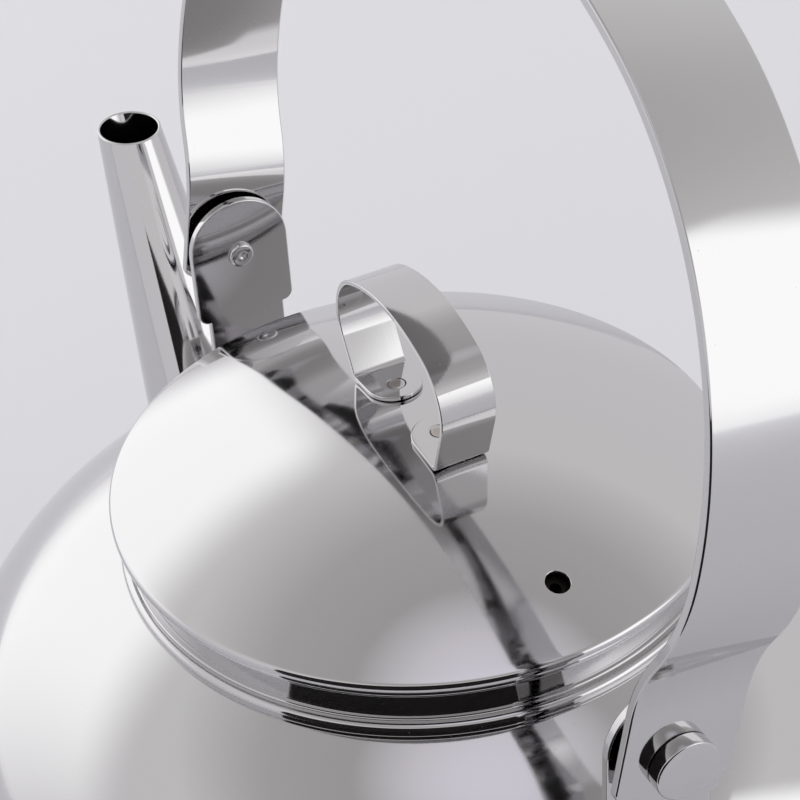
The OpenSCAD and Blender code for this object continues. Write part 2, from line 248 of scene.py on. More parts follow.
@dataclass
class Shape:
    """A surface as points with their true normals, and faces, in millimetres."""

    points: np.ndarray
    normals: np.ndarray
    faces: list

    def moved(self, matrix: Matrix) -> "Shape":
        """A copy put through a matrix with no scale but a mirror."""
        m = np.array(matrix)
        return Shape(self.points @ m[:3, :3].T + m[:3, 3], self.normals @ m[:3, :3].T, self.faces)

    def with_shape(self, other: "Shape") -> "Shape":
        """Joins another surface to this one.

        Args:
            other: The surface to add.

        Returns:
            Both as one surface.
        """
        shift = len(self.points)
        faces = self.faces + [tuple(i + shift for i in f) for f in other.faces]
        return Shape(
            np.vstack((self.points, other.points)), np.vstack((self.normals, other.normals)), faces
        )

    def welded(self) -> "Shape":
        """Joins coincident points and turns every face outwards.

        Returns:
            The joined surface.
        """
        keys = np.round(self.points / WELD_GRID).astype(np.int64)
        _, first, inverse = np.unique(keys, axis=0, return_index=True, return_inverse=True)
        inverse = inverse.reshape(-1)
        points = self.points[first]
        normals = np.zeros_like(points)
        np.add.at(normals, inverse, self.normals)
        normals /= np.maximum(np.linalg.norm(normals, axis=1), 1e-12)[:, None]
        faces = []
        for size in sorted({len(f) for f in self.faces}):
            ring = inverse[np.array([f for f in self.faces if len(f) == size])]
            p = points[ring] - points[ring].mean(axis=1, keepdims=True)
            flat = np.cross(p, np.roll(p, -1, axis=1)).sum(axis=1)
            flip = np.einsum("ij,ij->i", flat, normals[ring].sum(axis=1)) < 0
            ring[flip] = ring[flip][:, ::-1]
            pinched = (ring == np.roll(ring, 1, axis=1)).any(axis=1)
            faces += ring[~pinched].tolist()
            for bad in ring[pinched].tolist():
                kept = [v for k, v in enumerate(bad) if v != bad[k - 1]]
                if len(set(kept)) >= 3:
                    faces.append(kept)
        return Shape(points, normals, faces)

    def as_object(self, name: str) -> bpy.types.Object:
        """Makes a Blender object with smooth shading and these normals.

        Args:
            name: The object's and its mesh's name.

        Returns:
            The object, linked to the scene.
        """
        shape = self.welded()
        mesh = bpy.data.meshes.new(name)
        mesh.from_pydata((shape.points * MM).tolist(), [], shape.faces)
        mesh.shade_smooth()
        mesh.normals_split_custom_set_from_vertices(shape.normals.tolist())
        mesh.validate()
        obj = bpy.data.objects.new(name, mesh)
        bpy.context.scene.collection.objects.link(obj)
        return obj


def quads(rows: int, columns: int, wrap_rows: bool = False, wrap_columns: bool = False) -> list:
    """Faces of a grid of points that is stored row by row.

    Args:
        rows: Number of rows.
        columns: Points in a row.
        wrap_rows: Whether the last row joins the first.
        wrap_columns: Whether each row closes on itself.

    Returns:
        The faces, four point numbers each.
    """
    faces = []
    for j in range(rows if wrap_rows else rows - 1):
        k = (j + 1) % rows
        for i in range(columns if wrap_columns else columns - 1):
            n = (i + 1) % columns
            faces.append((j * columns + i, j * columns + n, k * columns + n, k * columns + i))
    return faces


def turned(section: Outline, sides: int) -> Shape:
    """A half section turned about the Z axis.

    Args:
        section: Points as (radius, height) with normals.
        sides: Facets round the axis.

    Returns:
        The surface of revolution.
    """
    a = np.arange(sides) * TAU / sides
    r, z = section.points[:, :1], section.points[:, 1:]
    nr, nz = section.normals[:, :1], section.normals[:, 1:]
    points = np.stack((r * np.cos(a), r * np.sin(a), z + 0 * a), axis=2).reshape(-1, 3)
    normals = np.stack((nr * np.cos(a), nr * np.sin(a), nz + 0 * a), axis=2).reshape(-1, 3)
    return Shape(points, normals, quads(len(section.points), sides, wrap_columns=True))


def read(items: bpy.types.bpy_prop_collection, name: str, width: int, kind: type = float) -> np.ndarray:
    """Reads one attribute of every item of a mesh into an array.

    Args:
        items: The mesh's points, corners or faces.
        name: The attribute.
        width: Numbers in each item's value.
        kind: Their type.

    Returns:
        One row for each item, or a flat array where the width is 1.
    """
    out = np.zeros(len(items) * width, kind)
    items.foreach_get(name, out)
    return out.reshape(-1, width) if width > 1 else out


def punched(
    obj: bpy.types.Object, cutter: Shape, skin: Callable[[Vector, Vector], Vector]
) -> bpy.types.Object:
    """Cuts a hole in a piece and keeps its surfaces' true normals.

    Args:
        obj: The piece.
        cutter: A closed surface to take away.
        skin: Gives the true normal at a new point of a face with a given flat normal.

    Returns:
        The piece, with its new mesh.
    """
    old = obj.data
    corner_normals = read(old.corner_normals, "vector", 3)
    known = np.zeros((len(old.vertices), 3))
    known[read(old.loops, "vertex_index", 1, int)] = corner_normals
    tree = KDTree(len(old.vertices))
    for v in old.vertices:
        tree.insert(v.co, v.index)
    tree.balance()
    tool = cutter.as_object(obj.name + "_cutter")
    cut = obj.modifiers.new("punch", "BOOLEAN")
    cut.operation = "DIFFERENCE"
    cut.solver = "EXACT"
    cut.object = tool
    graph = bpy.context.evaluated_depsgraph_get()
    new = bpy.data.meshes.new_from_object(obj.evaluated_get(graph))
    obj.modifiers.remove(cut)
    bpy.data.objects.remove(tool)
    found = [tree.find(v.co) for v in new.vertices]
    match = np.array([near if gap < KEPT_VERTEX else -1 for _, near, gap in found])
    points = read(new.loops, "vertex_index", 1, int)
    flat = read(new.polygons, "normal", 3)
    facing = np.repeat(flat, read(new.polygons, "loop_total", 1, int), axis=0)
    loops = known[match[points]]
    lost = (match[points] < 0) | (np.einsum("ij,ij->i", loops, facing) < SAME_SIDE)
    for k in np.flatnonzero(lost):
        loops[k] = skin(new.vertices[points[k]].co, Vector(facing[k]))
    new.shade_smooth()
    new.normals_split_custom_set(loops.tolist())
    new.name = old.name
    obj.data = new
    bpy.data.meshes.remove(old)
    return obj


def flat_skin(_: Vector, facing: Vector) -> Vector:
    """The normal of a flat sheet or a fine-cut hole: the face's own."""
    return facing


# ---------------------------------------------------------------------------
# Bent strips
# ---------------------------------------------------------------------------


@dataclass
class Bend:
    """One run of a strip: straight, or an arc with its radius on the inner face."""

    length: float = 0.0
    radius: float = 0.0
    angle: float = 0.0

    @property
    def run(self) -> float:
        """Length along the inner face."""
        return self.length or self.radius * math.radians(abs(self.angle))


@dataclass
class Centreline:
    """The inner face of a strip, from a start point, as straight runs and arcs.

    A positive angle turns to the right of the way it runs, and outwards is to the left.
    """

    start: tuple
    heading: float
    bends: list

    @property
    def length(self) -> float:
        """Whole length along the inner face."""
        return sum(b.run for b in self.bends)

    def at(self, distance: float) -> tuple:
        """Place and way at a distance along the face.

        Args:
            distance: Distance from the start, in millimetres.

        Returns:
            (point, unit tangent, unit outward normal), each an array of two.
        """
        point, heading = np.array(self.start, float), math.radians(self.heading)
        left = distance
        for bend in self.bends:
            last = bend is self.bends[-1] or left <= bend.run
            part = left if last else bend.run
            if bend.length:
                point = point + part * np.array([math.cos(heading), math.sin(heading)])
            else:
                side = 1 if bend.angle > 0 else -1
                centre = point + side * bend.radius * np.array([math.sin(heading), -math.cos(heading)])
                spoke = point - centre
                turn = -side * part / bend.radius
                c, s = math.cos(turn), math.sin(turn)
                point = centre + np.array([c * spoke[0] - s * spoke[1], s * spoke[0] + c * spoke[1]])
                heading += turn
            left -= part
            if last:
                break
        tangent = np.array([math.cos(heading), math.sin(heading)])
        return point, tangent, np.array([-tangent[1], tangent[0]])


def round_end(radius: float, half_width: float, corner: float = 0.0) -> list:
    """The outline of a strip's end, on one side of its middle line.

    Args:
        radius: Radius of the end's arc.
        half_width: Half width of the strip.
        corner: Radius where a broad end meets the strip's side, or 0 for a full round end.

    Returns:
        (distance from the tip, half width, normal along, normal across) from the tip to where the
        strip has its full width.
    """
    rows = []
    meet = 90.0
    if corner:
        across = half_width - corner
        along = radius - math.sqrt((radius - corner) ** 2 - across**2)
        meet = math.degrees(math.atan2(across, radius - along))
    for a in np.radians(np.linspace(0, meet, 22)):
        rows.append((radius * (1 - math.cos(a)), radius * math.sin(a), -math.cos(a), math.sin(a)))
    if corner:
        for a in np.radians(np.linspace(meet, 90, 10)[1:]):
            rows.append(
                (along - corner * math.cos(a), across + corner * math.sin(a), -math.cos(a), math.sin(a))
            )
    return rows


@dataclass
class Strip:
    """A flat strip bent along a line in the XZ plane, with rounded edges."""

    line: Centreline
    thickness: float
    edge: float
    across: int = 12

    def row(self, distance: float, w: float, nu: float, nw: float, shape: Callable) -> tuple:
        """One closed ring round the strip.

        Args:
            distance: Place of the outline's point along the line.
            w: Half width there.
            nu: Outline normal along the strip, away from the tip being negative.
            nw: Outline normal across the strip.
            shape: Moves a finished point: takes (distance, across, point) and returns a point.

        Returns:
            (points, normals) of the ring.
        """
        e, t = self.edge, self.thickness
        ring = []
        angles = np.radians(np.linspace(0, 90, 6))
        right = [(e * (1 - math.sin(a)), t - e + e * math.cos(a), math.sin(a), math.cos(a)) for a in angles]
        right += [(e * (1 - math.cos(a)), e - e * math.sin(a), math.cos(a), -math.sin(a)) for a in angles]
        top = np.linspace(-1, 1, self.across + 1)[1:-1]
        for s in top:
            ring.append((nu * e, s * (w - nw * e), t, 0.0, 0.0, 1.0))
        for inset, h, flat, up in right:
            ring.append((nu * inset, w - nw * inset, h, nu * flat, nw * flat, up))
        for s in top[::-1]:
            ring.append((nu * e, s * (w - nw * e), 0.0, 0.0, 0.0, -1.0))
        for inset, h, flat, up in reversed(right):
            ring.append((nu * inset, -(w - nw * inset), h, nu * flat, -nw * flat, up))
        points, normals = [], []
        for along, y, h, n_along, n_y, n_up in ring:
            d = distance - along
            p, tangent, out = self.line.at(d)
            q = p + out * h
            points.append(shape(d, y, np.array([q[0], y, q[1]])))
            n = tangent * n_along + out * n_up
            normals.append(np.array([n[0], n_y, n[1]]))
        return points, normals

    def surface(self, rows: list, shape: Callable = lambda d, y, p: p) -> Shape:
        """The strip's whole surface.

        Args:
            rows: (distance, half width, normal along, normal across) for each ring in order.
            shape: Moves each finished point.

        Returns:
            A closed surface.
        """
        points, normals = [], []
        for distance, w, nu, nw in rows:
            p, n = self.row(distance, w, nu, nw, shape)
            points += p
            normals += n
        columns = len(points) // len(rows)
        return Shape(np.array(points), np.array(normals), quads(len(rows), columns, wrap_columns=True))


def mirrored_strip(half: Shape) -> Shape:
    """A strip from its +X half, which starts at the plane x = 0."""
    return half.with_shape(half.moved(MIRROR_X))


# ---------------------------------------------------------------------------
# Finishes
# ---------------------------------------------------------------------------


def linear(hex_colour: str) -> tuple:
    """Turns an sRGB hex colour into linear light.

    Args:
        hex_colour: The colour as #RRGGBB.

    Returns:
        Red, green, blue and 1.
    """
    out = []
    for k in (1, 3, 5):
        c = int(hex_colour[k : k + 2], 16) / 255
        out.append(c / 12.92 if c <= 0.04045 else ((c + 0.055) / 1.055) ** 2.4)
    return (*out, 1.0)


def add(tree: bpy.types.NodeTree, kind: str, settings: dict, links: dict) -> bpy.types.Node:
    """Adds a node.

    Args:
        tree: The node tree.
        kind: The node's type name.
        settings: Attributes of the node, or values of its inputs by name or number.
        links: Input name or number to the output socket that feeds it.

    Returns:
        The new node.
    """
    node = tree.nodes.new(kind)
    for key, value in settings.items():
        if isinstance(key, str) and hasattr(node, key):
            setattr(node, key, value)
        else:
            node.inputs[key].default_value = value
    for key, socket in links.items():
        tree.links.new(socket, node.inputs[key])
    return node


def emptied(owner: bpy.types.Material | bpy.types.World) -> bpy.types.NodeTree:
    """Turns a new material or world over to nodes.

    Args:
        owner: The material or world.

    Returns:
        Its node tree, empty.
    """
    owner.use_nodes = True
    owner.node_tree.nodes.clear()
    return owner.node_tree


@dataclass(frozen=True)
class PolishedSteel:
    """Stainless steel sheet, pressed and then polished on a mop to a mirror.

    The eye sees sharp reflections of the panels, very fine lines where the mop ran, faint smears
    where it was wiped, and a few specks of dust.
    """

    name: str
    grain: Grain = Grain.ROUND
    colour: str = "#CBCACB"
    roughness: float = 0.045
    line_mm: float = 0.5        # mop lines, drawn a few times coarser than they are
    line_depth_mm: float = 0.0006
    turn_stretch: float = 2.0   # waviness of the lines round the axis, per radian
    strip_stretch: float = 0.02     # and along a strip, per millimetre
    smudge_mm: float = 22.0
    smudge_span: tuple = (0.35, 0.75)
    speck_mm: float = 2.4
    speck_span: tuple = (0.03, 0.06)
    speck_roughness: float = 0.30
    weld_x: float = 0.0         # place of a spot weld's ring either side of the middle, or 0 for none
    weld_r: float = 1.9
    weld_top: float = 167.0     # highest level at which a ring shows
    weld_fade: float = 0.3
    weld_ring_w: float = 0.45
    weld_depth_mm: float = 0.05
    weld_tint: str = "#8E7D6E"  # the straw colour that the weld's heat leaves

    def mop_lines(self, tree: bpy.types.NodeTree, mm: bpy.types.Node, xyz: bpy.types.Node) -> bpy.types.Node:
        """The fine lines that the mop leaves, as a bump.

        Args:
            tree: The material's nodes.
            mm: The place in millimetres.
            xyz: The same, split up.

        Returns:
            The bump node.
        """
        if self.grain is Grain.ROUND:
            level = add(
                tree, "ShaderNodeVectorMath", {"operation": "MULTIPLY", 1: (1, 1, 0)}, {0: mm.outputs[0]}
            )
            radius = add(tree, "ShaderNodeVectorMath", {"operation": "LENGTH"}, {0: level.outputs[0]})
            girth = add(
                tree, "ShaderNodeMath", {"operation": "ADD"},
                {0: radius.outputs["Value"], 1: xyz.outputs["Z"]},
            )
            turn = add(
                tree, "ShaderNodeMath", {"operation": "ARCTAN2"},
                {0: xyz.outputs["Y"], 1: xyz.outputs["X"]},
            )
            across, along, stretch = girth.outputs[0], turn.outputs[0], self.turn_stretch
        else:
            across, along, stretch = xyz.outputs["Y"], xyz.outputs["X"], self.strip_stretch
        place = add(tree, "ShaderNodeCombineXYZ", {}, {0: across, 1: along})
        scaled = add(
            tree, "ShaderNodeVectorMath",
            {"operation": "MULTIPLY", 1: (1 / self.line_mm, stretch, 1)}, {0: place.outputs[0]},
        )
        lines = add(
            tree, "ShaderNodeTexNoise", {"noise_dimensions": "2D", "Scale": 1.0, "Detail": 3.0},
            {"Vector": scaled.outputs[0]},
        )
        return add(
            tree, "ShaderNodeBump", {"Strength": 1.0, "Distance": self.line_depth_mm * MM},
            {"Height": lines.outputs[0]},
        )

    def gloss(self, tree: bpy.types.NodeTree, mm: bpy.types.Node) -> bpy.types.Node:
        """How rough the polish is: nearly a mirror, duller in the smears and on the dust.

        Args:
            tree: The material's nodes.
            mm: The place in millimetres.

        Returns:
            The node whose output is the roughness.
        """
        smudge = add(
            tree, "ShaderNodeTexNoise", {"Scale": 1 / self.smudge_mm, "Detail": 4.0},
            {"Vector": mm.outputs[0]},
        )
        low_edge, high_edge = self.smudge_span
        haze = add(
            tree, "ShaderNodeMapRange",
            {
                "From Min": low_edge, "From Max": high_edge,
                "To Min": self.roughness, "To Max": self.roughness * 2,
            },
            {"Value": smudge.outputs[0]},
        )
        dust = add(
            tree, "ShaderNodeTexVoronoi", {"Scale": 1 / self.speck_mm, "Randomness": 1.0},
            {"Vector": mm.outputs[0]},
        )
        heart, rim = self.speck_span
        spot = add(
            tree, "ShaderNodeMapRange",
            {"From Min": heart, "From Max": rim, "To Min": self.speck_roughness, "To Max": 0.0},
            {"Value": dust.outputs["Distance"]},
        )
        return add(
            tree, "ShaderNodeMath", {"operation": "ADD"},
            {0: haze.outputs[0], 1: spot.outputs[0]},
        )

    def material(self) -> bpy.types.Material:
        """Builds the material.

        Returns:
            The material.
        """
        made = bpy.data.materials.new(self.name)
        tree = emptied(made)
        place = add(tree, "ShaderNodeTexCoord", {}, {})
        mm = add(
            tree, "ShaderNodeVectorMath", {"operation": "SCALE", "Scale": 1 / MM},
            {0: place.outputs["Object"]},
        )
        xyz = add(tree, "ShaderNodeSeparateXYZ", {}, {0: mm.outputs[0]})
        bump = self.mop_lines(tree, mm, xyz)
        rough = self.gloss(tree, mm)
        shader = add(
            tree, "ShaderNodeBsdfPrincipled",
            {"Base Color": linear(self.colour), "Metallic": 1.0},
            {"Roughness": rough.outputs[0], "Normal": bump.outputs[0]},
        )
        if self.weld_x:
            self.weld(tree, xyz, bump, shader)
        add(tree, "ShaderNodeOutputMaterial", {}, {"Surface": shader.outputs[0]})
        return made

    def weld(
        self, tree: bpy.types.NodeTree, xyz: bpy.types.Node, bump: bpy.types.Node, shader: bpy.types.Node
    ) -> None:
        """Adds the two spot welds: a shallow ring with a straw tint inside.

        Args:
            tree: The material's nodes.
            xyz: The place in millimetres, split up.
            bump: The bump of the polishing lines.
            shader: The steel's shader.
        """
        across = add(tree, "ShaderNodeMath", {"operation": "ABSOLUTE"}, {0: xyz.outputs["X"]})
        away = add(tree, "ShaderNodeMath", {"operation": "SUBTRACT", 1: self.weld_x}, {0: across.outputs[0]})
        spot = add(tree, "ShaderNodeCombineXYZ", {}, {0: away.outputs[0], 1: xyz.outputs["Y"]})
        reach = add(tree, "ShaderNodeVectorMath", {"operation": "LENGTH"}, {0: spot.outputs[0]})
        level = add(
            tree, "ShaderNodeMapRange",
            {
                "From Min": self.weld_top, "From Max": self.weld_top + self.weld_fade,
                "To Min": 1.0, "To Max": 0.0,
            },
            {"Value": xyz.outputs["Z"]},
        )
        off_ring = add(
            tree, "ShaderNodeMath", {"operation": "SUBTRACT", 1: self.weld_r}, {0: reach.outputs["Value"]}
        )
        width = add(tree, "ShaderNodeMath", {"operation": "ABSOLUTE"}, {0: off_ring.outputs[0]})
        ring = add(
            tree, "ShaderNodeMapRange",
            {
                "interpolation_type": "SMOOTHSTEP", "From Min": 0.0, "From Max": self.weld_ring_w,
                "To Min": 0.0, "To Max": 1.0,
            },
            {"Value": width.outputs[0]},
        )
        dent = add(
            tree, "ShaderNodeBump", {"Distance": self.weld_depth_mm * MM},
            {"Height": ring.outputs[0], "Strength": level.outputs[0], "Normal": bump.outputs[0]},
        )
        inside = add(
            tree, "ShaderNodeMapRange",
            {"From Min": self.weld_r * 0.5, "From Max": self.weld_r * 1.15, "To Min": 0.5, "To Max": 0.0},
            {"Value": reach.outputs["Value"]},
        )
        share = add(
            tree, "ShaderNodeMath", {"operation": "MULTIPLY"}, {0: inside.outputs[0], 1: level.outputs[0]}
        )
        tint = add(
            tree, "ShaderNodeMix",
            {"data_type": "RGBA", 6: linear(self.colour), 7: linear(self.weld_tint)},
            {0: share.outputs[0]},
        )
        tree.links.new(tint.outputs[2], shader.inputs["Base Color"])
        tree.links.new(dent.outputs[0], shader.inputs["Normal"])


@dataclass(frozen=True)
class SatinSteel:
    """Stainless steel sheet as it leaves the press, with a soft satin from rolling.

    The eye sees a grey sheen with no clear reflection, a little uneven from grain to grain.
    """

    name: str = "pressed_steel_satin"
    colour: str = "#B4B4B4"
    roughness: float = 0.28
    grain_mm: float = 0.4

    def material(self) -> bpy.types.Material:
        """Builds the material.

        Returns:
            The material.
        """
        made = bpy.data.materials.new(self.name)
        tree = emptied(made)
        place = add(tree, "ShaderNodeTexCoord", {}, {})
        grain = add(
            tree, "ShaderNodeTexNoise", {"Scale": 1 / (self.grain_mm * MM), "Detail": 2.0},
            {"Vector": place.outputs["Object"]},
        )
        rough = add(
            tree, "ShaderNodeMapRange",
            {"To Min": self.roughness * 0.8, "To Max": self.roughness * 1.25},
            {"Value": grain.outputs[0]},
        )
        shader = add(
            tree, "ShaderNodeBsdfPrincipled",
            {"Base Color": linear(self.colour), "Metallic": 1.0},
            {"Roughness": rough.outputs[0]},
        )
        add(tree, "ShaderNodeOutputMaterial", {}, {"Surface": shader.outputs[0]})
        return made


@dataclass(frozen=True)
class RolledAluminium:
    """Aluminium disc, rolled and blanked, with a matt skin.

    The eye sees a paler and duller metal than the steel round it.
    """

    name: str = "rolled_aluminium"
    colour: str = "#D6D7D9"
    roughness: float = 0.4
    grain_mm: float = 0.6

    def material(self) -> bpy.types.Material:
        """Builds the material."""
        return SatinSteel(self.name, self.colour, self.roughness, self.grain_mm).material()


# ---------------------------------------------------------------------------
# The kettle's sub-assemblies
# ---------------------------------------------------------------------------


def dressed(
    obj: bpy.types.Object, body: Body, material: bpy.types.Material, nodes: tuple
) -> bpy.types.Object:
    """Gives a piece its material, its body and the CAD nodes that it stands for.

    Args:
        obj: The piece.
        body: The body that it rides on.
        material: Its material.
        nodes: The CAD nodes that it replaces.

    Returns:
        The piece.
    """
    obj.data.materials.clear()
    obj.data.materials.append(material)
    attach(obj, body.value)
    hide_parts(*nodes)
    log.info("%s: %d faces, stands for %s", obj.name, len(obj.data.polygons), ", ".join(nodes))
    return obj


@dataclass
class KettleBody:
    """Dome, pan, neck ring and base."""

    wall: float = 0.8
    neck_wall: float = 0.8
    edge: float = 0.15
    corner_r: float = 22.0
    barrel_r: float = 400.0
    dome_rise: float = 60.3
    bead_r: float = 1.45
    lip_r: float = 1.0
    cap_wall: float = 0.6
    seam_lap: float = 0.5       # how far the ring's foot runs down inside the dome
    seam_r: float = 0.1
    mouth_r: float = 0.5
    lip_round: float = 0.95
    crease_r: float = 0.45
    bead_top_r: float = 1.4
    bead_foot_r: float = 1.2
    bead_lap: float = 0.1
    wall_cos: float = 0.9       # least cosine at which a face is the wall's and not a hole's
    sides: int = 216

    def __post_init__(self) -> None:
        """Takes the places from the CAD frame."""
        self.radius = high("body_dome", 0)
        self.widest_z = low("body_dome", 2)
        self.bottom_z = low("body_pan", 2)
        self.neck_r = high("neck_ring", 0) - self.bead_r * 1.5
        self.neck_foot_z = self.dome_z(self.neck_r + self.bead_r / 2)
        self.neck_top_z = high("neck_ring", 2)

    def dome_z(self, radius: float) -> float:
        """Height of the dome's outer face at a radius."""
        return self.widest_z + self.dome_rise * math.sqrt(1 - (radius / self.radius) ** 2)

    def barrel(self) -> tuple:
        """Centre of the barrel's arc, its angle, and the centre of the corner's arc.

        Returns:
            (centre, angle in degrees, corner's centre), the centres as (radius, height).
        """
        centre = (self.radius - self.barrel_r, self.widest_z)
        reach = self.barrel_r - self.corner_r
        angle = math.asin((self.widest_z - self.bottom_z - self.corner_r) / reach)
        corner = (centre[0] + reach * math.cos(angle), centre[1] - reach * math.sin(angle))
        return centre, math.degrees(angle), corner

    def dome(self) -> Shape:
        """The dome, from the neck's opening to the widest line.

        Returns:
            A closed surface.
        """
        start = math.acos((self.neck_r - self.neck_wall) / self.radius)
        a = np.linspace(start, 0, 64)
        face = np.column_stack(
            (self.radius * np.cos(a), self.widest_z + self.dome_rise * np.sin(a))
        )
        return turned(sheet(outline([face]), self.wall, self.edge), self.sides)

    def pan(self) -> Shape:
        """The pan, from the widest line round the corner to the middle of the floor.

        Returns:
            A closed surface.
        """
        centre, angle, corner = self.barrel()
        face = outline([
            arc(centre, self.barrel_r, 0, -angle, 30),
            arc(corner, self.corner_r, -angle, -90, 24),
            np.column_stack((np.linspace(corner[0], 0, 12), np.full(12, self.bottom_z))),
        ])
        return turned(sheet(face, self.wall, self.edge, (False, True)), self.sides)

    def pan_skin(self, at: Vector, facing: Vector) -> Vector:
        """True normal of the pan's wall, inside or out, or of the spout's hole through it.

        Args:
            at: The point, in metres.
            facing: The flat normal of its face.

        Returns:
            The normal.
        """
        centre, _, _ = self.barrel()
        radius = math.hypot(at.x, at.y)
        out = Vector((radius - centre[0] * MM, at.z - centre[1] * MM)).normalized()
        n = Vector((out.x * at.x / radius, out.x * at.y / radius, out.y))
        if abs(n.dot(facing)) < self.wall_cos:
            return facing
        return n if n.dot(facing) > 0 else -n

    def neck(self) -> Shape:
        """The neck ring, with its rolled lip and the bead at its foot.

        Returns:
            A closed surface.
        """
        inner, outer = self.neck_r - self.neck_wall, self.neck_r
        lip = outer - self.neck_wall / 2 + 2 * self.lip_r
        bead = outer + 1.5 * self.bead_r
        top, foot = self.neck_top_z, self.neck_foot_z
        lip_foot, bead_top = top - 2 * self.lip_r, foot + 2 * self.bead_r
        corners = [
            (inner, foot - self.seam_lap, self.seam_r), (inner, top, self.mouth_r),
            (lip, top, self.lip_round), (lip, lip_foot, self.lip_round),
            (outer, lip_foot, self.crease_r), (outer, bead_top, self.crease_r),
            (bead, bead_top, self.bead_top_r), (bead, foot - self.bead_lap, self.bead_foot_r),
            (outer, foot - self.seam_lap, self.seam_r),
        ]
        return turned(rounded(corners, 10), self.sides)

    def base(self) -> Shape:
        """The steel cap round the aluminium disc.

        Returns:
            A closed surface.
        """
        outer = high("base_cap", 0)
        corner = 1.5 * self.cap_wall
        face = outline([
            np.column_stack((np.full(3, outer), np.linspace(high("base_cap", 2), corner, 3))),
            arc((outer - corner, corner), corner, 0, -90, 12),
            np.column_stack((np.linspace(outer - corner, 0, 10), np.zeros(10))),
        ])
        return turned(sheet(face, self.cap_wall, self.edge, (False, True)), self.sides)

    def build(self, spout: "Spout", steel: bpy.types.Material) -> None:
        """Makes the body's pieces.

        Args:
            spout: The spout, whose bore runs through the pan.
            steel: The finish.
        """
        dome = self.dome().as_object("dome")
        dressed(dome, Body.KETTLE, steel, ("body_dome",))
        pan = punched(self.pan().as_object("pan"), spout.bore(), self.pan_skin)
        dressed(pan, Body.KETTLE, steel, ("body_pan",))
        neck = self.neck().as_object("neck_ring_lip_and_bead")
        dressed(neck, Body.KETTLE, steel, ("neck_ring",))
        base = self.base().as_object("base_cap_steel")
        dressed(base, Body.KETTLE, steel, ("base_cap",))


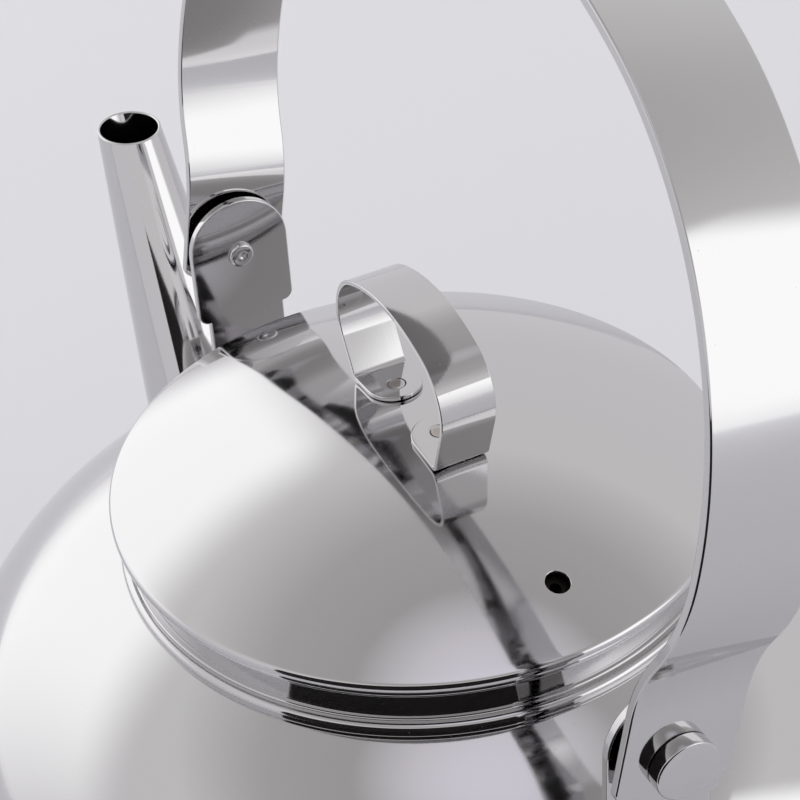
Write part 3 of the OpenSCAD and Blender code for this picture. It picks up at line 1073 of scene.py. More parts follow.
@dataclass
class Spout:
    """The straight, tapering spout with its elbow into the pan."""

    wall: float = 0.8
    mouth_r: float = 8.4
    taper: float = 0.088
    lean: float = 24.0
    elbow_z: float = 88.0
    elbow_r: float = 60.0
    elbow_angle: float = 41.0
    mouth_reach: float = 59.0
    fillet: float = 3.0
    rim: float = 0.3
    flare_reach: float = 0.8    # share of the fillet by which the flare runs out on the pan
    bore_run: float = 24.0      # how far the bore is carried past the elbow, into the pan
    search_run: float = 30.0    # how far past the elbow a side line may meet the pan
    rings: int = 70
    sides: int = 96

    def __post_init__(self) -> None:
        """Takes the places from the CAD frame."""
        self.body = KettleBody()
        self.mouth_x = self.body.radius + self.mouth_reach
        self.mouth_z = high("spout_tube", 2)
        self.straight = (self.mouth_z - self.elbow_z) / math.cos(math.radians(self.lean))
        self.elbow = self.elbow_r * math.radians(self.elbow_angle)

    def axis(self, distance: float) -> tuple:
        """Centre and lean of the spout at a distance down from its mouth.

        Args:
            distance: Distance along the axis, in millimetres. It may be negative.

        Returns:
            (x, z, lean in radians).
        """
        lean = math.radians(self.lean)
        x = self.mouth_x - min(distance, self.straight) * math.sin(lean)
        z = self.mouth_z - min(distance, self.straight) * math.cos(lean)
        if distance <= self.straight:
            return x, z, lean
        turn = min(distance - self.straight, self.elbow) / self.elbow_r
        cx, cz = x - self.elbow_r * math.cos(lean), z + self.elbow_r * math.sin(lean)
        x = cx + self.elbow_r * math.cos(lean + turn)
        z = cz - self.elbow_r * math.sin(lean + turn)
        past = max(distance - self.straight - self.elbow, 0.0)
        x -= past * math.sin(lean + turn)
        z -= past * math.cos(lean + turn)
        return x, z, lean + turn

    def on_side(self, distance: float, angle: float, inset: float) -> np.ndarray:
        """A point on the spout's side.

        Args:
            distance: Distance down the axis.
            angle: Place round the axis, in radians from the front.
            inset: Depth under the outer face.

        Returns:
            The point.
        """
        x, z, lean = self.axis(distance)
        r = self.mouth_r + self.taper * distance - inset
        out = r * math.cos(angle)
        return np.array([x + out * math.cos(lean), r * math.sin(angle), z - out * math.sin(lean)])

    def wall_gap(self, point: np.ndarray) -> float:
        """How far a point stands outside the body's outer face.

        Args:
            point: The point.

        Returns:
            The radial gap, negative inside the body.
        """
        centre, _, _ = self.body.barrel()
        z = point[2] - centre[1]
        edge = self.body.radius if z > 0 else centre[0] + math.sqrt(self.body.barrel_r**2 - z**2)
        if point[2] > self.body.widest_z:
            edge = self.body.radius * math.sqrt(
                max(0.0, 1 - ((point[2] - self.body.widest_z) / self.body.dome_rise) ** 2)
            )
        return math.hypot(point[0], point[1]) - edge

    def reach(self, angle: float, inset: float) -> float:
        """Distance down a side line at which it meets the pan.

        Args:
            angle: The side line's place round the axis, in radians.
            inset: Its depth under the outer face.

        Returns:
            The distance from the mouth.
        """
        near, far = self.straight, self.straight + self.elbow + self.search_run
        for _ in range(40):
            middle = (near + far) / 2
            if self.wall_gap(self.on_side(middle, angle, inset)) > 0:
                near = middle
            else:
                far = middle
        return near

    def mouth_at(self, angle: float, inset: float) -> float:
        """Distance down a side line at which it meets the mouth's level plane.

        Args:
            angle: The side line's place round the axis, in radians.
            inset: Its depth under the outer face.

        Returns:
            The distance, which is negative where the mouth rises above the axis's end.
        """
        near, far = -self.mouth_r, self.mouth_r
        for _ in range(40):
            middle = (near + far) / 2
            if self.on_side(middle, angle, inset)[2] > self.mouth_z - self.rim:
                near = middle
            else:
                far = middle
        return far

    def side_line(self, angle: float, inset: float, flare: bool) -> np.ndarray:
        """Points down one side line, from the mouth to the pan.

        Args:
            angle: The side line's place round the axis, in radians.
            inset: Its depth under the outer face.
            flare: Whether it ends in the weld's flare.

        Returns:
            The points in order.
        """
        top, foot = self.mouth_at(angle, inset), self.reach(angle, inset)
        if not flare:
            return np.array([self.on_side(d, angle, inset) for d in np.linspace(top, foot, self.rings)])
        stop = foot - self.fillet
        line = [self.on_side(d, angle, inset) for d in np.linspace(top, stop, self.rings)]
        start, corner = line[-1], self.on_side(foot, angle, inset)
        x, z, _ = self.axis(foot)
        away = corner - np.array([x, 0.0, z])
        end = corner + away / np.linalg.norm(away) * self.fillet * self.flare_reach
        for _ in range(3):
            gap = self.wall_gap(end)
            end = end - gap * np.array([end[0], end[1], 0.0]) / math.hypot(end[0], end[1])
        for s in np.linspace(0, 1, 12)[1:]:
            line.append((1 - s) ** 2 * start + 2 * s * (1 - s) * corner + s**2 * end)
        return np.array(line)

    def tube(self) -> Shape:
        """The whole spout: outer face, rounded mouth, and bore.

        Returns:
            A closed surface.
        """
        angles = np.arange(self.sides) * TAU / self.sides
        columns = []
        for a in angles:
            outer = self.side_line(a, 0.0, True)
            inner = self.side_line(a, self.wall, False)
            middle, half = (outer[0] + inner[0]) / 2, (outer[0] - inner[0]) / 2
            lip = []
            for b in np.radians(np.linspace(0, 180, 11))[1:-1]:
                lip.append(middle + half * math.cos(b) + np.array([0, 0, self.rim * math.sin(b)]))
            columns.append(np.vstack((outer[::-1], lip, inner)))
        grid = np.array(columns)
        along = np.gradient(grid, axis=1)
        around = (np.roll(grid, -1, axis=0) - np.roll(grid, 1, axis=0)) / 2
        n = np.cross(around, along)
        n /= np.maximum(np.linalg.norm(n, axis=2), 1e-12)[:, :, None]
        faces = quads(self.sides, len(columns[0]), wrap_rows=True, wrap_columns=True)
        return Shape(grid.reshape(-1, 3), n.reshape(-1, 3), faces)

    def bore(self) -> Shape:
        """The bore as a solid that runs on into the pan.

        Returns:
            A closed surface.
        """
        points, normals = [], []
        stations = np.linspace(self.straight, self.straight + self.elbow + self.bore_run, 24)
        for d in stations:
            x, z, _ = self.axis(d)
            for a in np.arange(self.sides) * TAU / self.sides:
                p = self.on_side(d, a, self.wall)
                out = p - np.array([x, 0, z])
                points.append(p)
                normals.append(out / np.linalg.norm(out))
        faces = quads(len(stations), self.sides, wrap_columns=True)
        for start in (0, (len(stations) - 1) * self.sides):
            faces.append(tuple(range(start, start + self.sides)))
        return Shape(np.array(points), np.array(normals), faces)

    def build(self, steel: bpy.types.Material) -> None:
        """Makes the spout."""
        dressed(self.tube().as_object("spout"), Body.KETTLE, steel, ("spout_tube",))


@dataclass
class Lid:
    """Lid, skirt and the whistle under its vent."""

    wall: float = 0.8
    dome_r: float = 152.0
    edge_r: float = 1.4
    edge_h: float = 0.6
    cut: float = 0.2
    overhang: float = 2.0       # how far the lid reaches past its seat
    skirt_wall: float = 0.7
    seat_width: float = 2.3
    seat_gap: float = 0.3
    vent_d: float = 5.0
    vent_r: float = 52.0
    vent_turn: float = 3.5
    vent_roll: float = 0.3
    punch_reach: float = 4.0
    seam_r: float = 0.1
    skirt_edge: float = 0.15
    seat_edge: float = 0.3
    dome_cos: float = 0.985     # least cosine at which a face is the dome's and not the vent's
    sides: int = 216

    def __post_init__(self) -> None:
        """Takes the places from the CAD frame."""
        self.radius = high("lid_skirt", 0) + self.overhang
        self.bottom_z = low("lid_shell", 2)
        self.edge_z = self.bottom_z + self.edge_h
        self.angle = math.degrees(math.asin((self.radius - self.edge_r) / (self.dome_r - self.edge_r)))
        self.centre_z = self.edge_z - (self.dome_r - self.edge_r) * math.cos(math.radians(self.angle))

    def shell(self) -> Shape:
        """The lid's dome with its turned-down edge.

        Returns:
            A closed surface.
        """
        meet = 90 - self.angle
        face = outline([
            arc((0, self.centre_z), self.dome_r, 90, meet, 48),
            arc((self.radius - self.edge_r, self.edge_z), self.edge_r, meet, 0, 14),
            np.array([[self.radius, self.edge_z - self.edge_h / 2], [self.radius, self.bottom_z]]),
        ])
        return turned(sheet(face, self.wall, self.cut, (True, False)), self.sides)

    def vent_frame(self) -> Matrix:
        """Frame at the dome's centre of curvature, with Z out through the vent.

        Returns:
            The frame.
        """
        turn = Matrix.Rotation(math.radians(180 + self.vent_turn), 4, "Z")
        tip = Matrix.Rotation(math.asin(self.vent_r / self.dome_r), 4, "Y")
        return Matrix.Translation((0, 0, self.centre_z)) @ turn @ tip

    def vent_tool(self) -> Shape:
        """The punch: a round bar whose shoulder rolls the vent's edge.

        Returns:
            A closed surface.
        """
        r, roll, top = self.vent_d / 2, self.vent_roll, self.dome_r
        flare = arc((r + roll, top - roll), roll, 180, 90, 8)
        foot, head = top - self.punch_reach, top + self.punch_reach
        face = np.vstack(([[0.0, foot], [r, foot]], flare, [[r + roll, head], [0.0, head]]))
        normals = np.column_stack((np.ones(len(face)), np.zeros(len(face))))
        return turned(Outline(face, normals), 64).moved(self.vent_frame())

    def shell_skin(self, at: Vector, facing: Vector) -> Vector:
        """True normal of the dome, inside or out, or of the vent's rolled edge.

        Args:
            at: The point, in metres.
            facing: The flat normal of its face.

        Returns:
            The normal.
        """
        out = (at - Vector((0, 0, self.centre_z * MM))).normalized()
        if abs(out.dot(facing)) > self.dome_cos:
            return out if out.dot(facing) > 0 else -out
        return facing

    def skirt(self) -> Shape:
        """The locating skirt with the seat that rests on the neck's lip.

        Returns:
            A closed surface.
        """
        out, top = high("lid_skirt", 0), high("lid_skirt", 2)
        wall_r = out - self.seat_width
        inner = wall_r - self.skirt_wall
        seat = high("neck_ring", 2) + self.seat_gap
        over = seat + self.skirt_wall
        foot = low("lid_skirt", 2)
        corners = [
            (inner, foot, self.skirt_edge), (inner, top, self.seam_r),
            (wall_r, top, self.seam_r), (wall_r, over, self.seat_edge),
            (out, over, self.seat_edge), (out, seat, self.seat_edge),
            (wall_r, seat, self.seat_edge), (wall_r, foot, self.skirt_edge),
        ]
        return turned(rounded(corners, 5), self.sides)

    def build(self, steel: bpy.types.Material) -> None:
        """Makes the lid's shell."""
        shell = punched(self.shell().as_object("lid"), self.vent_tool(), self.shell_skin)
        dressed(shell, Body.LID, steel, ("lid_shell",))


@dataclass
class Knob:
    """The lid's knob: one strip bent to a D, with turned-in, spot-welded feet."""

    lid: Lid
    width: float = 12.2
    thickness: float = 1.0
    edge: float = 0.22
    crown_r: float = 40.0
    crown_angle: float = 24.0
    side_r: float = 12.5
    front_lean: float = 29.0
    rear_lean: float = 18.0
    bend_r: float = 2.2
    tip_x: float = 4.5
    seat_gap: float = 0.05
    bend_rings: int = 150

    def line(self, lean_deg: float) -> Centreline:
        """The inner face from the top of the crown to a foot's tip.

        Args:
            lean_deg: How far that leg leans in towards its foot, in degrees.

        Returns:
            The line, on the +X side.
        """
        t = self.thickness
        top = high("knob_strip", 2)
        foot_x = self.tip_x + self.width / 2
        slope = math.degrees(math.asin(foot_x / self.lid.dome_r))
        foot_z = self.lid.centre_z + math.sqrt(self.lid.dome_r**2 - foot_x**2)
        crown = math.radians(self.crown_angle)
        lean = math.radians(lean_deg)
        side_x = (self.crown_r - self.side_r) * math.sin(crown)
        side_z = top - self.crown_r + (self.crown_r - self.side_r) * math.cos(crown)
        leg_z = side_z - (self.side_r - self.bend_r) * math.sin(lean)
        leg_x = side_x + (self.side_r - self.bend_r) * math.cos(lean)
        tilt = math.radians(slope)
        leg = leg_z - foot_z - self.seat_gap - self.bend_r / math.cos(tilt)
        leg += (leg_x - foot_x) * math.tan(tilt)
        leg /= math.cos(lean) + math.sin(lean) * math.tan(tilt)
        bend_x = leg_x - leg * math.sin(lean)
        return Centreline((0.0, top - t), 0.0, [
            Bend(radius=self.crown_r - t, angle=self.crown_angle),
            Bend(radius=self.side_r - t, angle=90 - self.crown_angle + lean_deg),
            Bend(length=leg),
            Bend(radius=self.bend_r - t, angle=90 - lean_deg + slope),
            Bend(length=bend_x - self.tip_x),
        ])

    def half(self, lean_deg: float) -> Shape:
        """The half of the knob from the crown to a foot on the +X side.

        Args:
            lean_deg: That leg's lean, in degrees.

        Returns:
            The half's surface, open at the crown.
        """
        line = self.line(lean_deg)
        strip = Strip(line, self.thickness, self.edge, across=20)
        half = self.width / 2
        total = line.length
        foot = line.bends[-1].length
        rows = [(d, half, 0.0, 1.0) for d in np.linspace(0, total - foot, self.bend_rings)]
        rows += [(d, half, 0.0, 1.0) for d in np.linspace(total - foot, total - half, 24)[1:-1]]
        for d, w, nu, nw in reversed(round_end(half, half)):
            rows.append((total - d, w, -nu, nw))
        return strip.surface(rows)

    def build(self, steel: bpy.types.Material) -> None:
        """Makes the knob.

        Args:
            steel: The finish.
        """
        rear = self.half(self.rear_lean).moved(MIRROR_X)
        knob = self.half(self.front_lean).with_shape(rear).as_object("knob")
        dressed(knob, Body.LID, steel, ("knob_strip",))


@dataclass
class Handle:
    """The bail: one strip bent to an arch."""

    width: float = 25.0
    thickness: float = 2.0
    edge: float = 0.4
    rise: float = 12.0
    bulge: float = 9.3
    flare_r: float = 34.0
    return_r: float = 45.0
    shoulder_r: float = 80.0
    crown_angle: float = 25.0
    end_drop: float = 10.0
    end_r: float = 20.0
    end_corner: float = 2.0
    lean: float = 10.0
    rivet_hole_d: float = 5.1
    washer_gap: float = 0.15
    drill_reach: float = 4.0
    arch_rings: int = 260

    def __post_init__(self) -> None:
        """Takes the places from the CAD frame."""
        self.pivot_z = (low("front_rivet", 2) + high("front_rivet", 2)) / 2
        self.inner_x = high("front_washer", 0) + self.washer_gap

    def line(self) -> Centreline:
        """The inner face from the top of the arch to its +X end, heights above the pivot.

        Returns:
            The line.
        """
        bend = math.acos(1 - self.bulge / (self.flare_r + self.return_r))
        shoulder_x = self.inner_x + self.bulge - self.shoulder_r
        crown = math.radians(self.crown_angle)
        crown_r = self.shoulder_r + shoulder_x / math.sin(crown)
        shoulder_z = self.rise + (self.flare_r + self.return_r) * math.sin(bend)
        centre_z = shoulder_z - (crown_r - self.shoulder_r) * math.cos(crown)
        return Centreline((0.0, centre_z + crown_r), 0.0, [
            Bend(radius=crown_r, angle=self.crown_angle),
            Bend(radius=self.shoulder_r, angle=90 - self.crown_angle),
            Bend(radius=self.return_r, angle=math.degrees(bend)),
            Bend(radius=self.flare_r, angle=-math.degrees(bend)),
            Bend(length=self.rise + self.end_drop),
        ])

    def frame(self) -> Matrix:
        """From the upright handle, heights above the pivot, to where it rests."""
        lean = Matrix.Rotation(math.radians(self.lean), 4, "X")
        return Matrix.Translation((0, 0, self.pivot_z)) @ lean

    def strip(self) -> Shape:
        """The handle's whole surface, where it rests.

        Returns:
            A closed surface.
        """
        line = self.line()
        strip = Strip(line, self.thickness, self.edge, across=16)
        half, total = self.width / 2, line.length
        end = round_end(self.end_r, half, self.end_corner)
        full = end[-1][0]
        straight = self.rise + self.end_drop
        rows = [(d, half, 0.0, 1.0) for d in np.linspace(0, total - straight, self.arch_rings)]
        rows += [(d, half, 0.0, 1.0) for d in np.linspace(total - straight, total - full, 12)[1:-1]]
        for d, w, nu, nw in reversed(end):
            rows.append((total - d, w, -nu, nw))
        return mirrored_strip(strip.surface(rows)).moved(self.frame())

    def drill(self, side: int) -> Shape:
        """A drill along the pivot through the end on one side, +1 or -1."""
        middle = side * (self.inner_x + self.thickness / 2)
        return bar(self.rivet_hole_d / 2, middle - self.drill_reach, middle + self.drill_reach, self.pivot_z)

    def build(self, steel: bpy.types.Material) -> None:
        """Makes the handle and drills its ends.

        Args:
            steel: The finish.
        """
        obj = self.strip().as_object("handle")
        for side in (-1, 1):
            obj = punched(obj, self.drill(side), flat_skin)
        dressed(obj, Body.HANDLE, steel, ("handle_strip",))


@dataclass
class Ear:
    """A pressed lug with its foot welded to the dome, on the +X side."""

    body: KettleBody
    thickness: float = 2.0
    edge: float = 0.4
    width: float = 25.0
    crown_rise: float = 2.2
    depth: float = 17.1
    corner_r: float = 2.5
    neck_w: float = 19.5
    foot_r: float = 4.0
    neck_fillet: float = 0.2
    bend_r: float = 2.8
    hole_d: float = 5.0
    foot_trim: float = 1.6      # how much shorter the foot is than its run to the tip

    def __post_init__(self) -> None:
        """Takes the places from the CAD frame."""
        self.x = low("front_ear", 0)
        self.pivot_z = (low("front_rivet", 2) + high("front_rivet", 2)) / 2
        self.top_z = self.pivot_z + self.crown_rise + self.width / 2
        self.tip_x = high("front_ear", 0)

    def slope(self, x: float) -> float:
        """The dome's downward slope at a radius, in degrees.

        Args:
            x: The radius.

        Returns:
            The slope.
        """
        part = x / self.body.radius
        rise = self.body.dome_rise / self.body.radius
        return math.degrees(math.atan(rise * part / math.sqrt(1 - part**2)))

    def line(self) -> Centreline:
        """The inner face, down the lug and out along the dome.

        Returns:
            The line.
        """
        turn = 90 - self.slope(self.x)
        tangent = self.bend_r * math.tan(math.radians(turn / 2))
        drop = self.top_z - self.body.dome_z(self.x) - tangent
        start = self.x + tangent * math.cos(math.radians(self.slope(self.x)))
        more = self.slope(self.tip_x) - self.slope(start)
        mean_slope = (self.slope(start) + self.slope(self.tip_x)) / 2
        run = (self.tip_x - start) / math.cos(math.radians(mean_slope)) - self.foot_trim
        return Centreline((self.x, self.top_z), -90.0, [
            Bend(length=drop),
            Bend(radius=self.bend_r, angle=-turn),
            Bend(radius=run / math.radians(more), angle=more),
        ])

    def surface(self) -> Shape:
        """The lug's whole surface.

        Returns:
            A closed surface.
        """
        line = self.line()
        drop = line.bends[0].run
        half, neck = self.width / 2, self.neck_w / 2
        rows = round_end(half, half)
        shoulder = self.crown_rise + half + self.depth
        first = shoulder - self.corner_r
        rows += [(d, half, 0.0, 1.0) for d in np.linspace(half, first, 8)[1:-1]]
        for a in np.radians(np.linspace(0, 90, 9)):
            w = half - self.corner_r * (1 - math.cos(a))
            rows.append((first + self.corner_r * math.sin(a), w, math.sin(a), math.cos(a)))
        f = self.neck_fillet
        for b in np.radians(np.linspace(0, 90, 7)):
            rows.append((
                shoulder + f * (1 - math.cos(b)), neck + f * (1 - math.sin(b)), math.cos(b), math.sin(b),
            ))
        total = line.length
        r = self.foot_r
        rows += [(d, neck, 0.0, 1.0) for d in np.linspace(shoulder + f, total - r, 60)[1:-1]]
        for a in np.radians(np.linspace(0, 90, 12)):
            along, across = math.sin(a), math.cos(a)
            rows.append((total - r + r * along, neck - r + r * across, along, across))
        rows += [(total, w, 1.0, 0.0) for w in np.linspace(neck - r, self.edge, 8)[1:]]

        def on_dome(distance: float, across: float, p: np.ndarray) -> np.ndarray:
            """Drops a point of the foot sideways onto the dome.

            Args:
                distance: Distance of the point along the lug.
                across: Its distance from the lug's middle line.
                p: The point.

            Returns:
                The point at its height on the dome.
            """
            share = min(max((distance - drop) / self.bend_r, 0.0), 1.0)
            fall = self.body.dome_z(p[0]) - self.body.dome_z(math.hypot(p[0], across))
            return p - np.array([0.0, 0.0, fall * share])

        return Strip(line, self.thickness, self.edge).surface(rows, on_dome)

    def drill(self) -> Shape:
        """A drill through the lug at the pivot."""
        return bar(self.hole_d / 2, self.x - 1, self.x + self.thickness + 1, self.pivot_z)


def bar(radius: float, start: float, end: float, height: float) -> Shape:
    """A round bar along the X axis at a height.

    Args:
        radius: The bar's radius.
        start: Where it starts along X.
        end: Where it ends.
        height: Level of its axis.

    Returns:
        A closed surface.
    """
    face = np.array([[0.0, start], [radius, start], [radius, end], [0.0, end]])
    normals = np.array([[0, -1], [1, 0], [1, 0], [0, 1]], float)
    return turned(Outline(face, normals), 48).moved(across_axis(height))


def across_axis(height: float) -> Matrix:
    """From a section turned about Z to one turned about X at a height."""
    return Matrix.Translation((0, 0, height)) @ Matrix.Rotation(math.radians(90), 4, "Y")


@dataclass
class Rivet:
    """A shoulder rivet: broad flat head outside, closed tail with a dished middle inside."""

    head_d: float = 13.0
    head_t: float = 3.1
    shank_d: float = 5.0
    tail_d: float = 6.3
    tail_t: float = 1.2
    head_edge: float = 0.35
    tail_edge: float = 0.8
    tail_bevel: tuple = (0.05, 0.1)     # across and along
    under_edge: float = 0.2
    dish_r: float = 1.191
    dish_depth: float = 0.35

    def surface(self) -> Shape:
        """The rivet on the +X side.

        Returns:
            A closed surface.
        """
        inner, outer = low("front_rivet", 0), high("front_rivet", 0)
        height = (low("front_rivet", 2) + high("front_rivet", 2)) / 2
        head, tail, shank = self.head_d / 2, self.tail_d / 2, self.shank_d / 2
        under = outer - self.head_t
        seat = inner + self.tail_t
        bevel_w, bevel_h = self.tail_bevel
        dish = np.linspace(0, math.pi, 15)
        dish_x = inner + self.dish_depth * (1 + np.cos(dish)) / 2
        parts = [
            np.column_stack((dish / math.pi * self.dish_r, dish_x)),
            arc((tail - self.tail_edge, inner + self.tail_edge), self.tail_edge, -90, 0, 8),
            np.array([[tail, seat - bevel_h], [tail - bevel_w, seat], [shank, seat], [shank, under]]),
            np.array([[shank, under], [head - self.under_edge, under]]),
            arc((head - self.under_edge, under + self.under_edge), self.under_edge, -90, 0, 4),
            arc((head - self.head_edge, outer - self.head_edge), self.head_edge, 0, 90, 8),
            np.array([[head - self.head_edge, outer], [head / 2, outer], [0.0, outer]]),
        ]
        return turned(outline(parts, left=False), 96).moved(across_axis(height))


@dataclass
class Washer:
    """The spacer between lug and handle."""

    bore_d: float = 5.1
    edge: float = 0.25

    def surface(self) -> Shape:
        """The washer on the +X side.

        Returns:
            A closed surface.
        """
        a, b = low("front_washer", 0), high("front_washer", 0)
        outer = (high("front_washer", 2) - low("front_washer", 2)) / 2
        height = (low("front_washer", 2) + high("front_washer", 2)) / 2
        e = self.edge
        bore = self.bore_d / 2
        section = rounded([(bore, a, e), (bore, b, e), (outer, b, e), (outer, a, e)], 5)
        return turned(section, 96).moved(across_axis(height))


@dataclass
class Whistle:
    """A two-plate steam whistle under the lid's vent."""

    lid: Lid
    diameter: float = 14.0
    height: float = 4.0
    wall: float = 0.5
    hole_d: float = 2.4
    plate_gap: float = 0.04
    edge: float = 0.1
    inner_bend: float = 0.3
    outer_bend: float = 0.6

    def top(self) -> float:
        """Where the cup meets the lid's underside, from the dome's centre."""
        return math.sqrt((self.lid.dome_r - self.lid.wall) ** 2 - (self.diameter / 2) ** 2)

    def cup(self) -> Shape:
        """The cup with its lower hole.

        Returns:
            A closed surface.
        """
        r, hole, t, w = self.diameter / 2, self.hole_d / 2, self.top(), self.wall
        foot = t - self.height
        section = rounded([
            (hole, foot, self.edge), (hole, foot + w, self.edge), (r - w, foot + w, self.inner_bend),
            (r - w, t, self.edge), (r, t, self.edge), (r, foot, self.outer_bend),
        ], 5)
        return turned(section, 72).moved(self.lid.vent_frame())

    def disc(self) -> Shape:
        """The upper plate.

        Returns:
            A closed surface.
        """
        r = self.diameter / 2 - self.wall - self.plate_gap
        hole, t = self.hole_d / 2, self.top() - self.height / 2
        corners = ((hole, t), (hole, t + self.wall), (r, t + self.wall), (r, t))
        section = rounded([(*corner, self.edge) for corner in corners], 5)
        return turned(section, 72).moved(self.lid.vent_frame())


# ---------------------------------------------------------------------------
# Studio
# ---------------------------------------------------------------------------


def board(name: str, corners: list, coat: bpy.types.Material) -> bpy.types.Object:
    """Makes a flat four-cornered board of studio kit.

    Args:
        name: The object's and its mesh's name.
        corners: Its corners in order, in metres.
        coat: Its material.

    Returns:
        The object, linked to the scene.
    """
    mesh = bpy.data.meshes.new(name)
    mesh.from_pydata(corners, [], [(0, 1, 2, 3)])
    mesh.materials.append(coat)
    obj = bpy.data.objects.new(name, mesh)
    bpy.context.scene.collection.objects.link(obj)
    return obj


def matt(name: str, colour: str, roughness: float) -> bpy.types.Material:
    """Makes a plain matt material for studio kit.

    Args:
        name: Its name.
        colour: Its colour as #RRGGBB.
        roughness: Its roughness.

    Returns:
        The material.
    """
    made = bpy.data.materials.new(name)
    tree = emptied(made)
    coat = add(
        tree, "ShaderNodeBsdfPrincipled", {"Base Color": linear(colour), "Roughness": roughness}, {}
    )
    add(tree, "ShaderNodeOutputMaterial", {}, {0: coat.outputs[0]})
    return made


@dataclass
class SoftPanel:
    """A lamp with a cloth front, whose light fades towards its edges.

    A fade is the share of the half size over which that side dims. Sides are named as the
    kettle sees them: right is the way in which the azimuth grows.
    """

    name: str
    azimuth: float
    elevation: float
    width: float
    height: float
    strength: float
    left: float = 0.3
    right: float = 0.3
    bottom: float = 0.3
    top: float = 0.3
    roll: float = 0.0
    distance: float = 2.0
    colour: str = "#FFFFFF"

    def build(self, aim: Vector) -> None:
        """Makes the panel.

        Args:
            aim: The point that it faces, in metres.
        """
        a, e = math.radians(self.azimuth), math.radians(self.elevation)
        way = Vector((math.cos(e) * math.cos(a), math.cos(e) * math.sin(a), math.sin(e)))
        w, h = self.width / 2, self.height / 2
        obj = board(self.name, [(-w, -h, 0), (w, -h, 0), (w, h, 0), (-w, h, 0)], self.cloth())
        facing = (-way).to_track_quat("-Z", "Y").to_matrix()
        turn = facing @ Matrix.Rotation(math.radians(self.roll), 3, "Z")
        obj.matrix_world = Matrix.Translation(aim + way * self.distance) @ turn.to_4x4()
        obj.visible_camera = False

    def cloth(self) -> bpy.types.Material:
        """The panel's front, which glows and fades out to nothing.

        Returns:
            The material.
        """
        made = bpy.data.materials.new(self.name + "_cloth")
        tree = emptied(made)
        place = add(tree, "ShaderNodeTexCoord", {}, {})
        xyz = add(tree, "ShaderNodeSeparateXYZ", {}, {0: place.outputs["Object"]})
        share = None
        sides = (
            ("X", -self.width, self.left), ("X", self.width, self.right),
            ("Y", -self.height, self.bottom), ("Y", self.height, self.top),
        )
        for axis, size, fade in sides:
            dim = add(
                tree, "ShaderNodeMapRange",
                {
                    "interpolation_type": "SMOOTHSTEP", "From Min": size / 2 * (1 - fade),
                    "From Max": size / 2, "To Min": 1.0, "To Max": 0.0,
                },
                {"Value": xyz.outputs[axis]},
            )
            if share is None:
                share = dim.outputs[0]
            else:
                share = add(
                    tree, "ShaderNodeMath", {"operation": "MULTIPLY"}, {0: share, 1: dim.outputs[0]}
                ).outputs[0]
        glow = add(
            tree, "ShaderNodeEmission", {"Color": linear(self.colour), "Strength": self.strength}, {}
        )
        clear = add(tree, "ShaderNodeBsdfTransparent", {}, {})
        mix = add(
            tree, "ShaderNodeMixShader", {},
            {0: share, 1: clear.outputs[0], 2: glow.outputs[0]},
        )
        add(tree, "ShaderNodeOutputMaterial", {}, {"Surface": mix.outputs[0]})
        return made


@dataclass
class DarkScreen:
    """A dark upright screen that the steel mirrors near the camera's side of the table."""

    azimuth: float = 150.0
    distance: float = 0.24
    width: float = 0.42
    bottom: float = 0.0
    top: float = 0.25
    colour: str = "#15110F"

    def build(self) -> None:
        """Makes the screen. It takes no light off the floor."""
        way = Vector((math.cos(math.radians(self.azimuth)), math.sin(math.radians(self.azimuth)), 0))
        side = Vector((-way.y, way.x, 0)) * self.width / 2
        foot = way * self.distance
        corners = [
            (*(foot + sign * side).xy, level)
            for sign, level in ((-1, self.bottom), (1, self.bottom), (1, self.top), (-1, self.top))
        ]
        obj = board("dark_screen", corners, matt("black_felt", self.colour, 0.9))
        obj.visible_camera = False
        obj.visible_diffuse = False
        obj.visible_shadow = False


@dataclass
class Camera:
    """The camera, placed by its own bearings: place and lens in millimetres, turns in degrees."""

    position: tuple = (-331.05, 156.86, 443.55)
    heading: float = 335.172
    pitch: float = -36.908
    roll: float = -3.94
    lens: float = 99.83
    sensor: float = 36.0
    near: float = 0.01

    def build(self) -> None:
        """Makes the camera and makes it the scene's."""
        y, p, r = (math.radians(v) for v in (self.heading, self.pitch, self.roll))
        ahead = Vector((math.cos(p) * math.cos(y), math.cos(p) * math.sin(y), math.sin(p)))
        right = ahead.cross(Vector((0, 0, 1))).normalized()
        up = right.cross(ahead)
        side = right * math.cos(r) + up * math.sin(r)
        top = up * math.cos(r) - right * math.sin(r)
        data = bpy.data.cameras.new("camera")
        data.lens = self.lens
        data.sensor_width = self.sensor
        data.clip_start = self.near
        data.dof.use_dof = False
        obj = bpy.data.objects.new("camera", data)
        bpy.context.scene.collection.objects.link(obj)
        turn = Matrix((side, top, -ahead)).transposed().to_4x4()
        obj.matrix_world = Matrix.Translation(Vector(self.position) * MM) @ turn
        bpy.context.scene.camera = obj


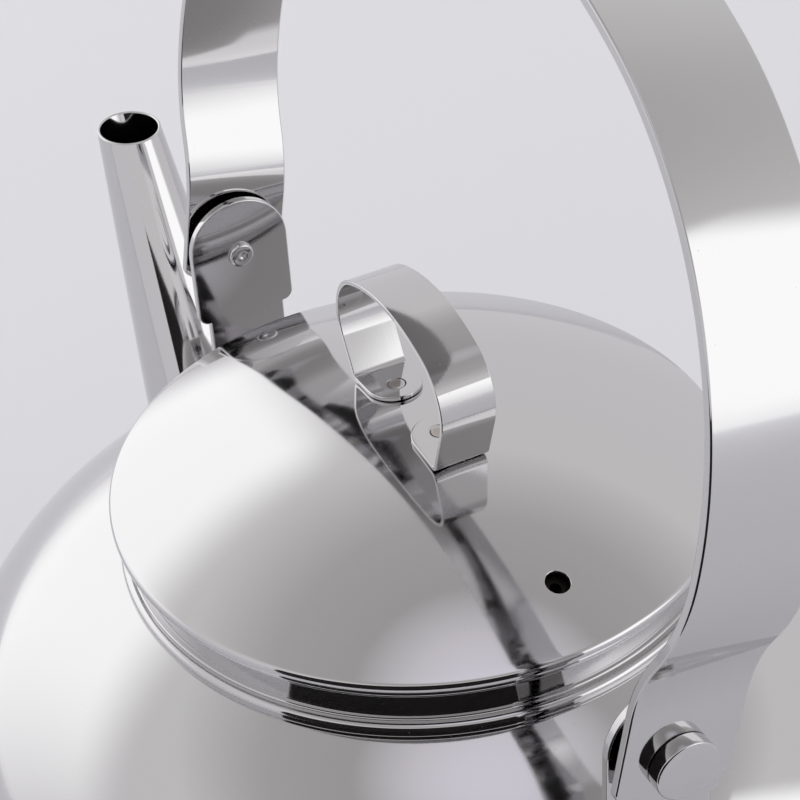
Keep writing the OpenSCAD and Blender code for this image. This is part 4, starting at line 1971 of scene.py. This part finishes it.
@dataclass
class Studio:
    """A pale floor, pale surroundings and soft panels."""

    # Angle above the room's level plane, and the colour there: walls, dim ceiling, lit ceiling
    room: tuple = (
        (0.0, "#E0DEE1"), (38.0, "#E1E0E0"), (54.0, "#BDBCBB"), (68.0, "#B5B4B3"), (77.0, "#E2DFE5"),
        (86.0, "#F0EDF8"),
    )
    room_strength: float = 1.09
    ceiling_tilt: tuple = (13.0, 195.0)      # how far the lit ceiling is off overhead, and which way
    floor: str = "#F1F1F5"
    floor_size: float = 8.0
    aim: tuple = (0.0, 0.0, 0.14)       # the point that the panels face, in metres

    def surroundings(self) -> None:
        """Makes the room as a world of soft colour bands."""
        world = bpy.data.worlds.new("studio")
        bpy.context.scene.world = world
        tree = emptied(world)
        way = add(tree, "ShaderNodeTexCoord", {}, {})
        tilt, turn = (math.radians(a) for a in self.ceiling_tilt)
        axis = (math.sin(tilt) * math.cos(turn), math.sin(tilt) * math.sin(turn), math.cos(tilt))
        rise = add(
            tree, "ShaderNodeVectorMath", {"operation": "DOT_PRODUCT", 1: axis},
            {0: way.outputs["Generated"]},
        )
        ramp = add(tree, "ShaderNodeValToRGB", {}, {0: rise.outputs["Value"]})
        bands = ramp.color_ramp.elements
        while len(bands) < len(self.room):
            bands.new(1.0)
        for k, (elevation, colour) in enumerate(self.room):
            bands[k].position = math.sin(math.radians(elevation))
            bands[k].color = linear(colour)
        glow = add(tree, "ShaderNodeBackground", {"Strength": self.room_strength}, {0: ramp.outputs[0]})
        add(tree, "ShaderNodeOutputWorld", {}, {0: glow.outputs[0]})

    def build(self) -> None:
        """Makes the room, the floor and the panels."""
        self.surroundings()
        half = self.floor_size / 2
        corners = [(-half, -half, 0), (half, -half, 0), (half, half, 0), (-half, half, 0)]
        board("floor", corners, matt("studio_paper", self.floor, 0.7))
        panels = (
            SoftPanel(
                "panel_left", 30, 16, 3.9, 2.55, 1.5,
                left=0.35, right=1.1, bottom=0.55, top=0.55, roll=-20,
            ),
            SoftPanel(
                "panel_right", -143, 9, 1.95, 1.3, 1.6,
                left=0.8, right=0.3, bottom=0.7, top=0.08, roll=30,
            ),
        )
        for panel in panels:
            panel.build(Vector(self.aim))
        DarkScreen().build()


def main() -> None:
    """Builds the kettle, the studio and the camera."""
    logging.basicConfig(level=logging.INFO, format="%(message)s")
    round_steel = PolishedSteel("stainless_mirror_round", Grain.ROUND).material()
    strip_steel = PolishedSteel("stainless_mirror_strip", Grain.ARCH).material()
    satin = SatinSteel().material()
    aluminium = RolledAluminium().material()

    spout = Spout()
    KettleBody().build(spout, round_steel)
    spout.build(round_steel)
    lid = Lid()
    lid.build(round_steel)
    Knob(lid).build(PolishedSteel("stainless_mirror_knob", Grain.ARCH, weld_x=9.6).material())
    Handle().build(strip_steel)

    ear, rivet, washer = Ear(KettleBody()), Rivet(), Washer()
    for end, place in (("front", Matrix.Identity(4)), ("rear", MIRROR_X)):
        lug = ear.surface().moved(place).as_object(end + "_lug")
        punched(lug, ear.drill().moved(place), flat_skin)
        dressed(lug, Body.KETTLE, strip_steel, (end + "_ear",))
        pin = rivet.surface().moved(place).as_object(end + "_rivet_pin")
        dressed(pin, Body.KETTLE, strip_steel, (end + "_rivet",))
        ring = washer.surface().moved(place).as_object(end + "_spacer")
        dressed(ring, Body.KETTLE, satin, (end + "_washer",))
    skirt = lid.skirt().as_object("lid_skirt_and_seat")
    dressed(skirt, Body.LID, satin, ("lid_skirt",))
    # The whistle's plates are given a near-black colour: painted shade for the dark inside of the lid's vent
    vent_shade_steel = SatinSteel("whistle_painted_shade_steel", "#2E2B29", 0.5).material()
    whistle = Whistle(lid)
    cup = whistle.cup().as_object("whistle_cup_pressing")
    dressed(cup, Body.LID, vent_shade_steel, ("whistle_cup",))
    disc = whistle.disc().as_object("whistle_upper_plate")
    dressed(disc, Body.LID, vent_shade_steel, ("whistle_disc",))
    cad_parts["base_core"].data.materials.clear()
    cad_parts["base_core"].data.materials.append(aluminium)

    Studio().build()
    Camera().build()
    bpy.context.scene.view_settings.view_transform = "Standard"


if __name__ == "__main__":
    main()
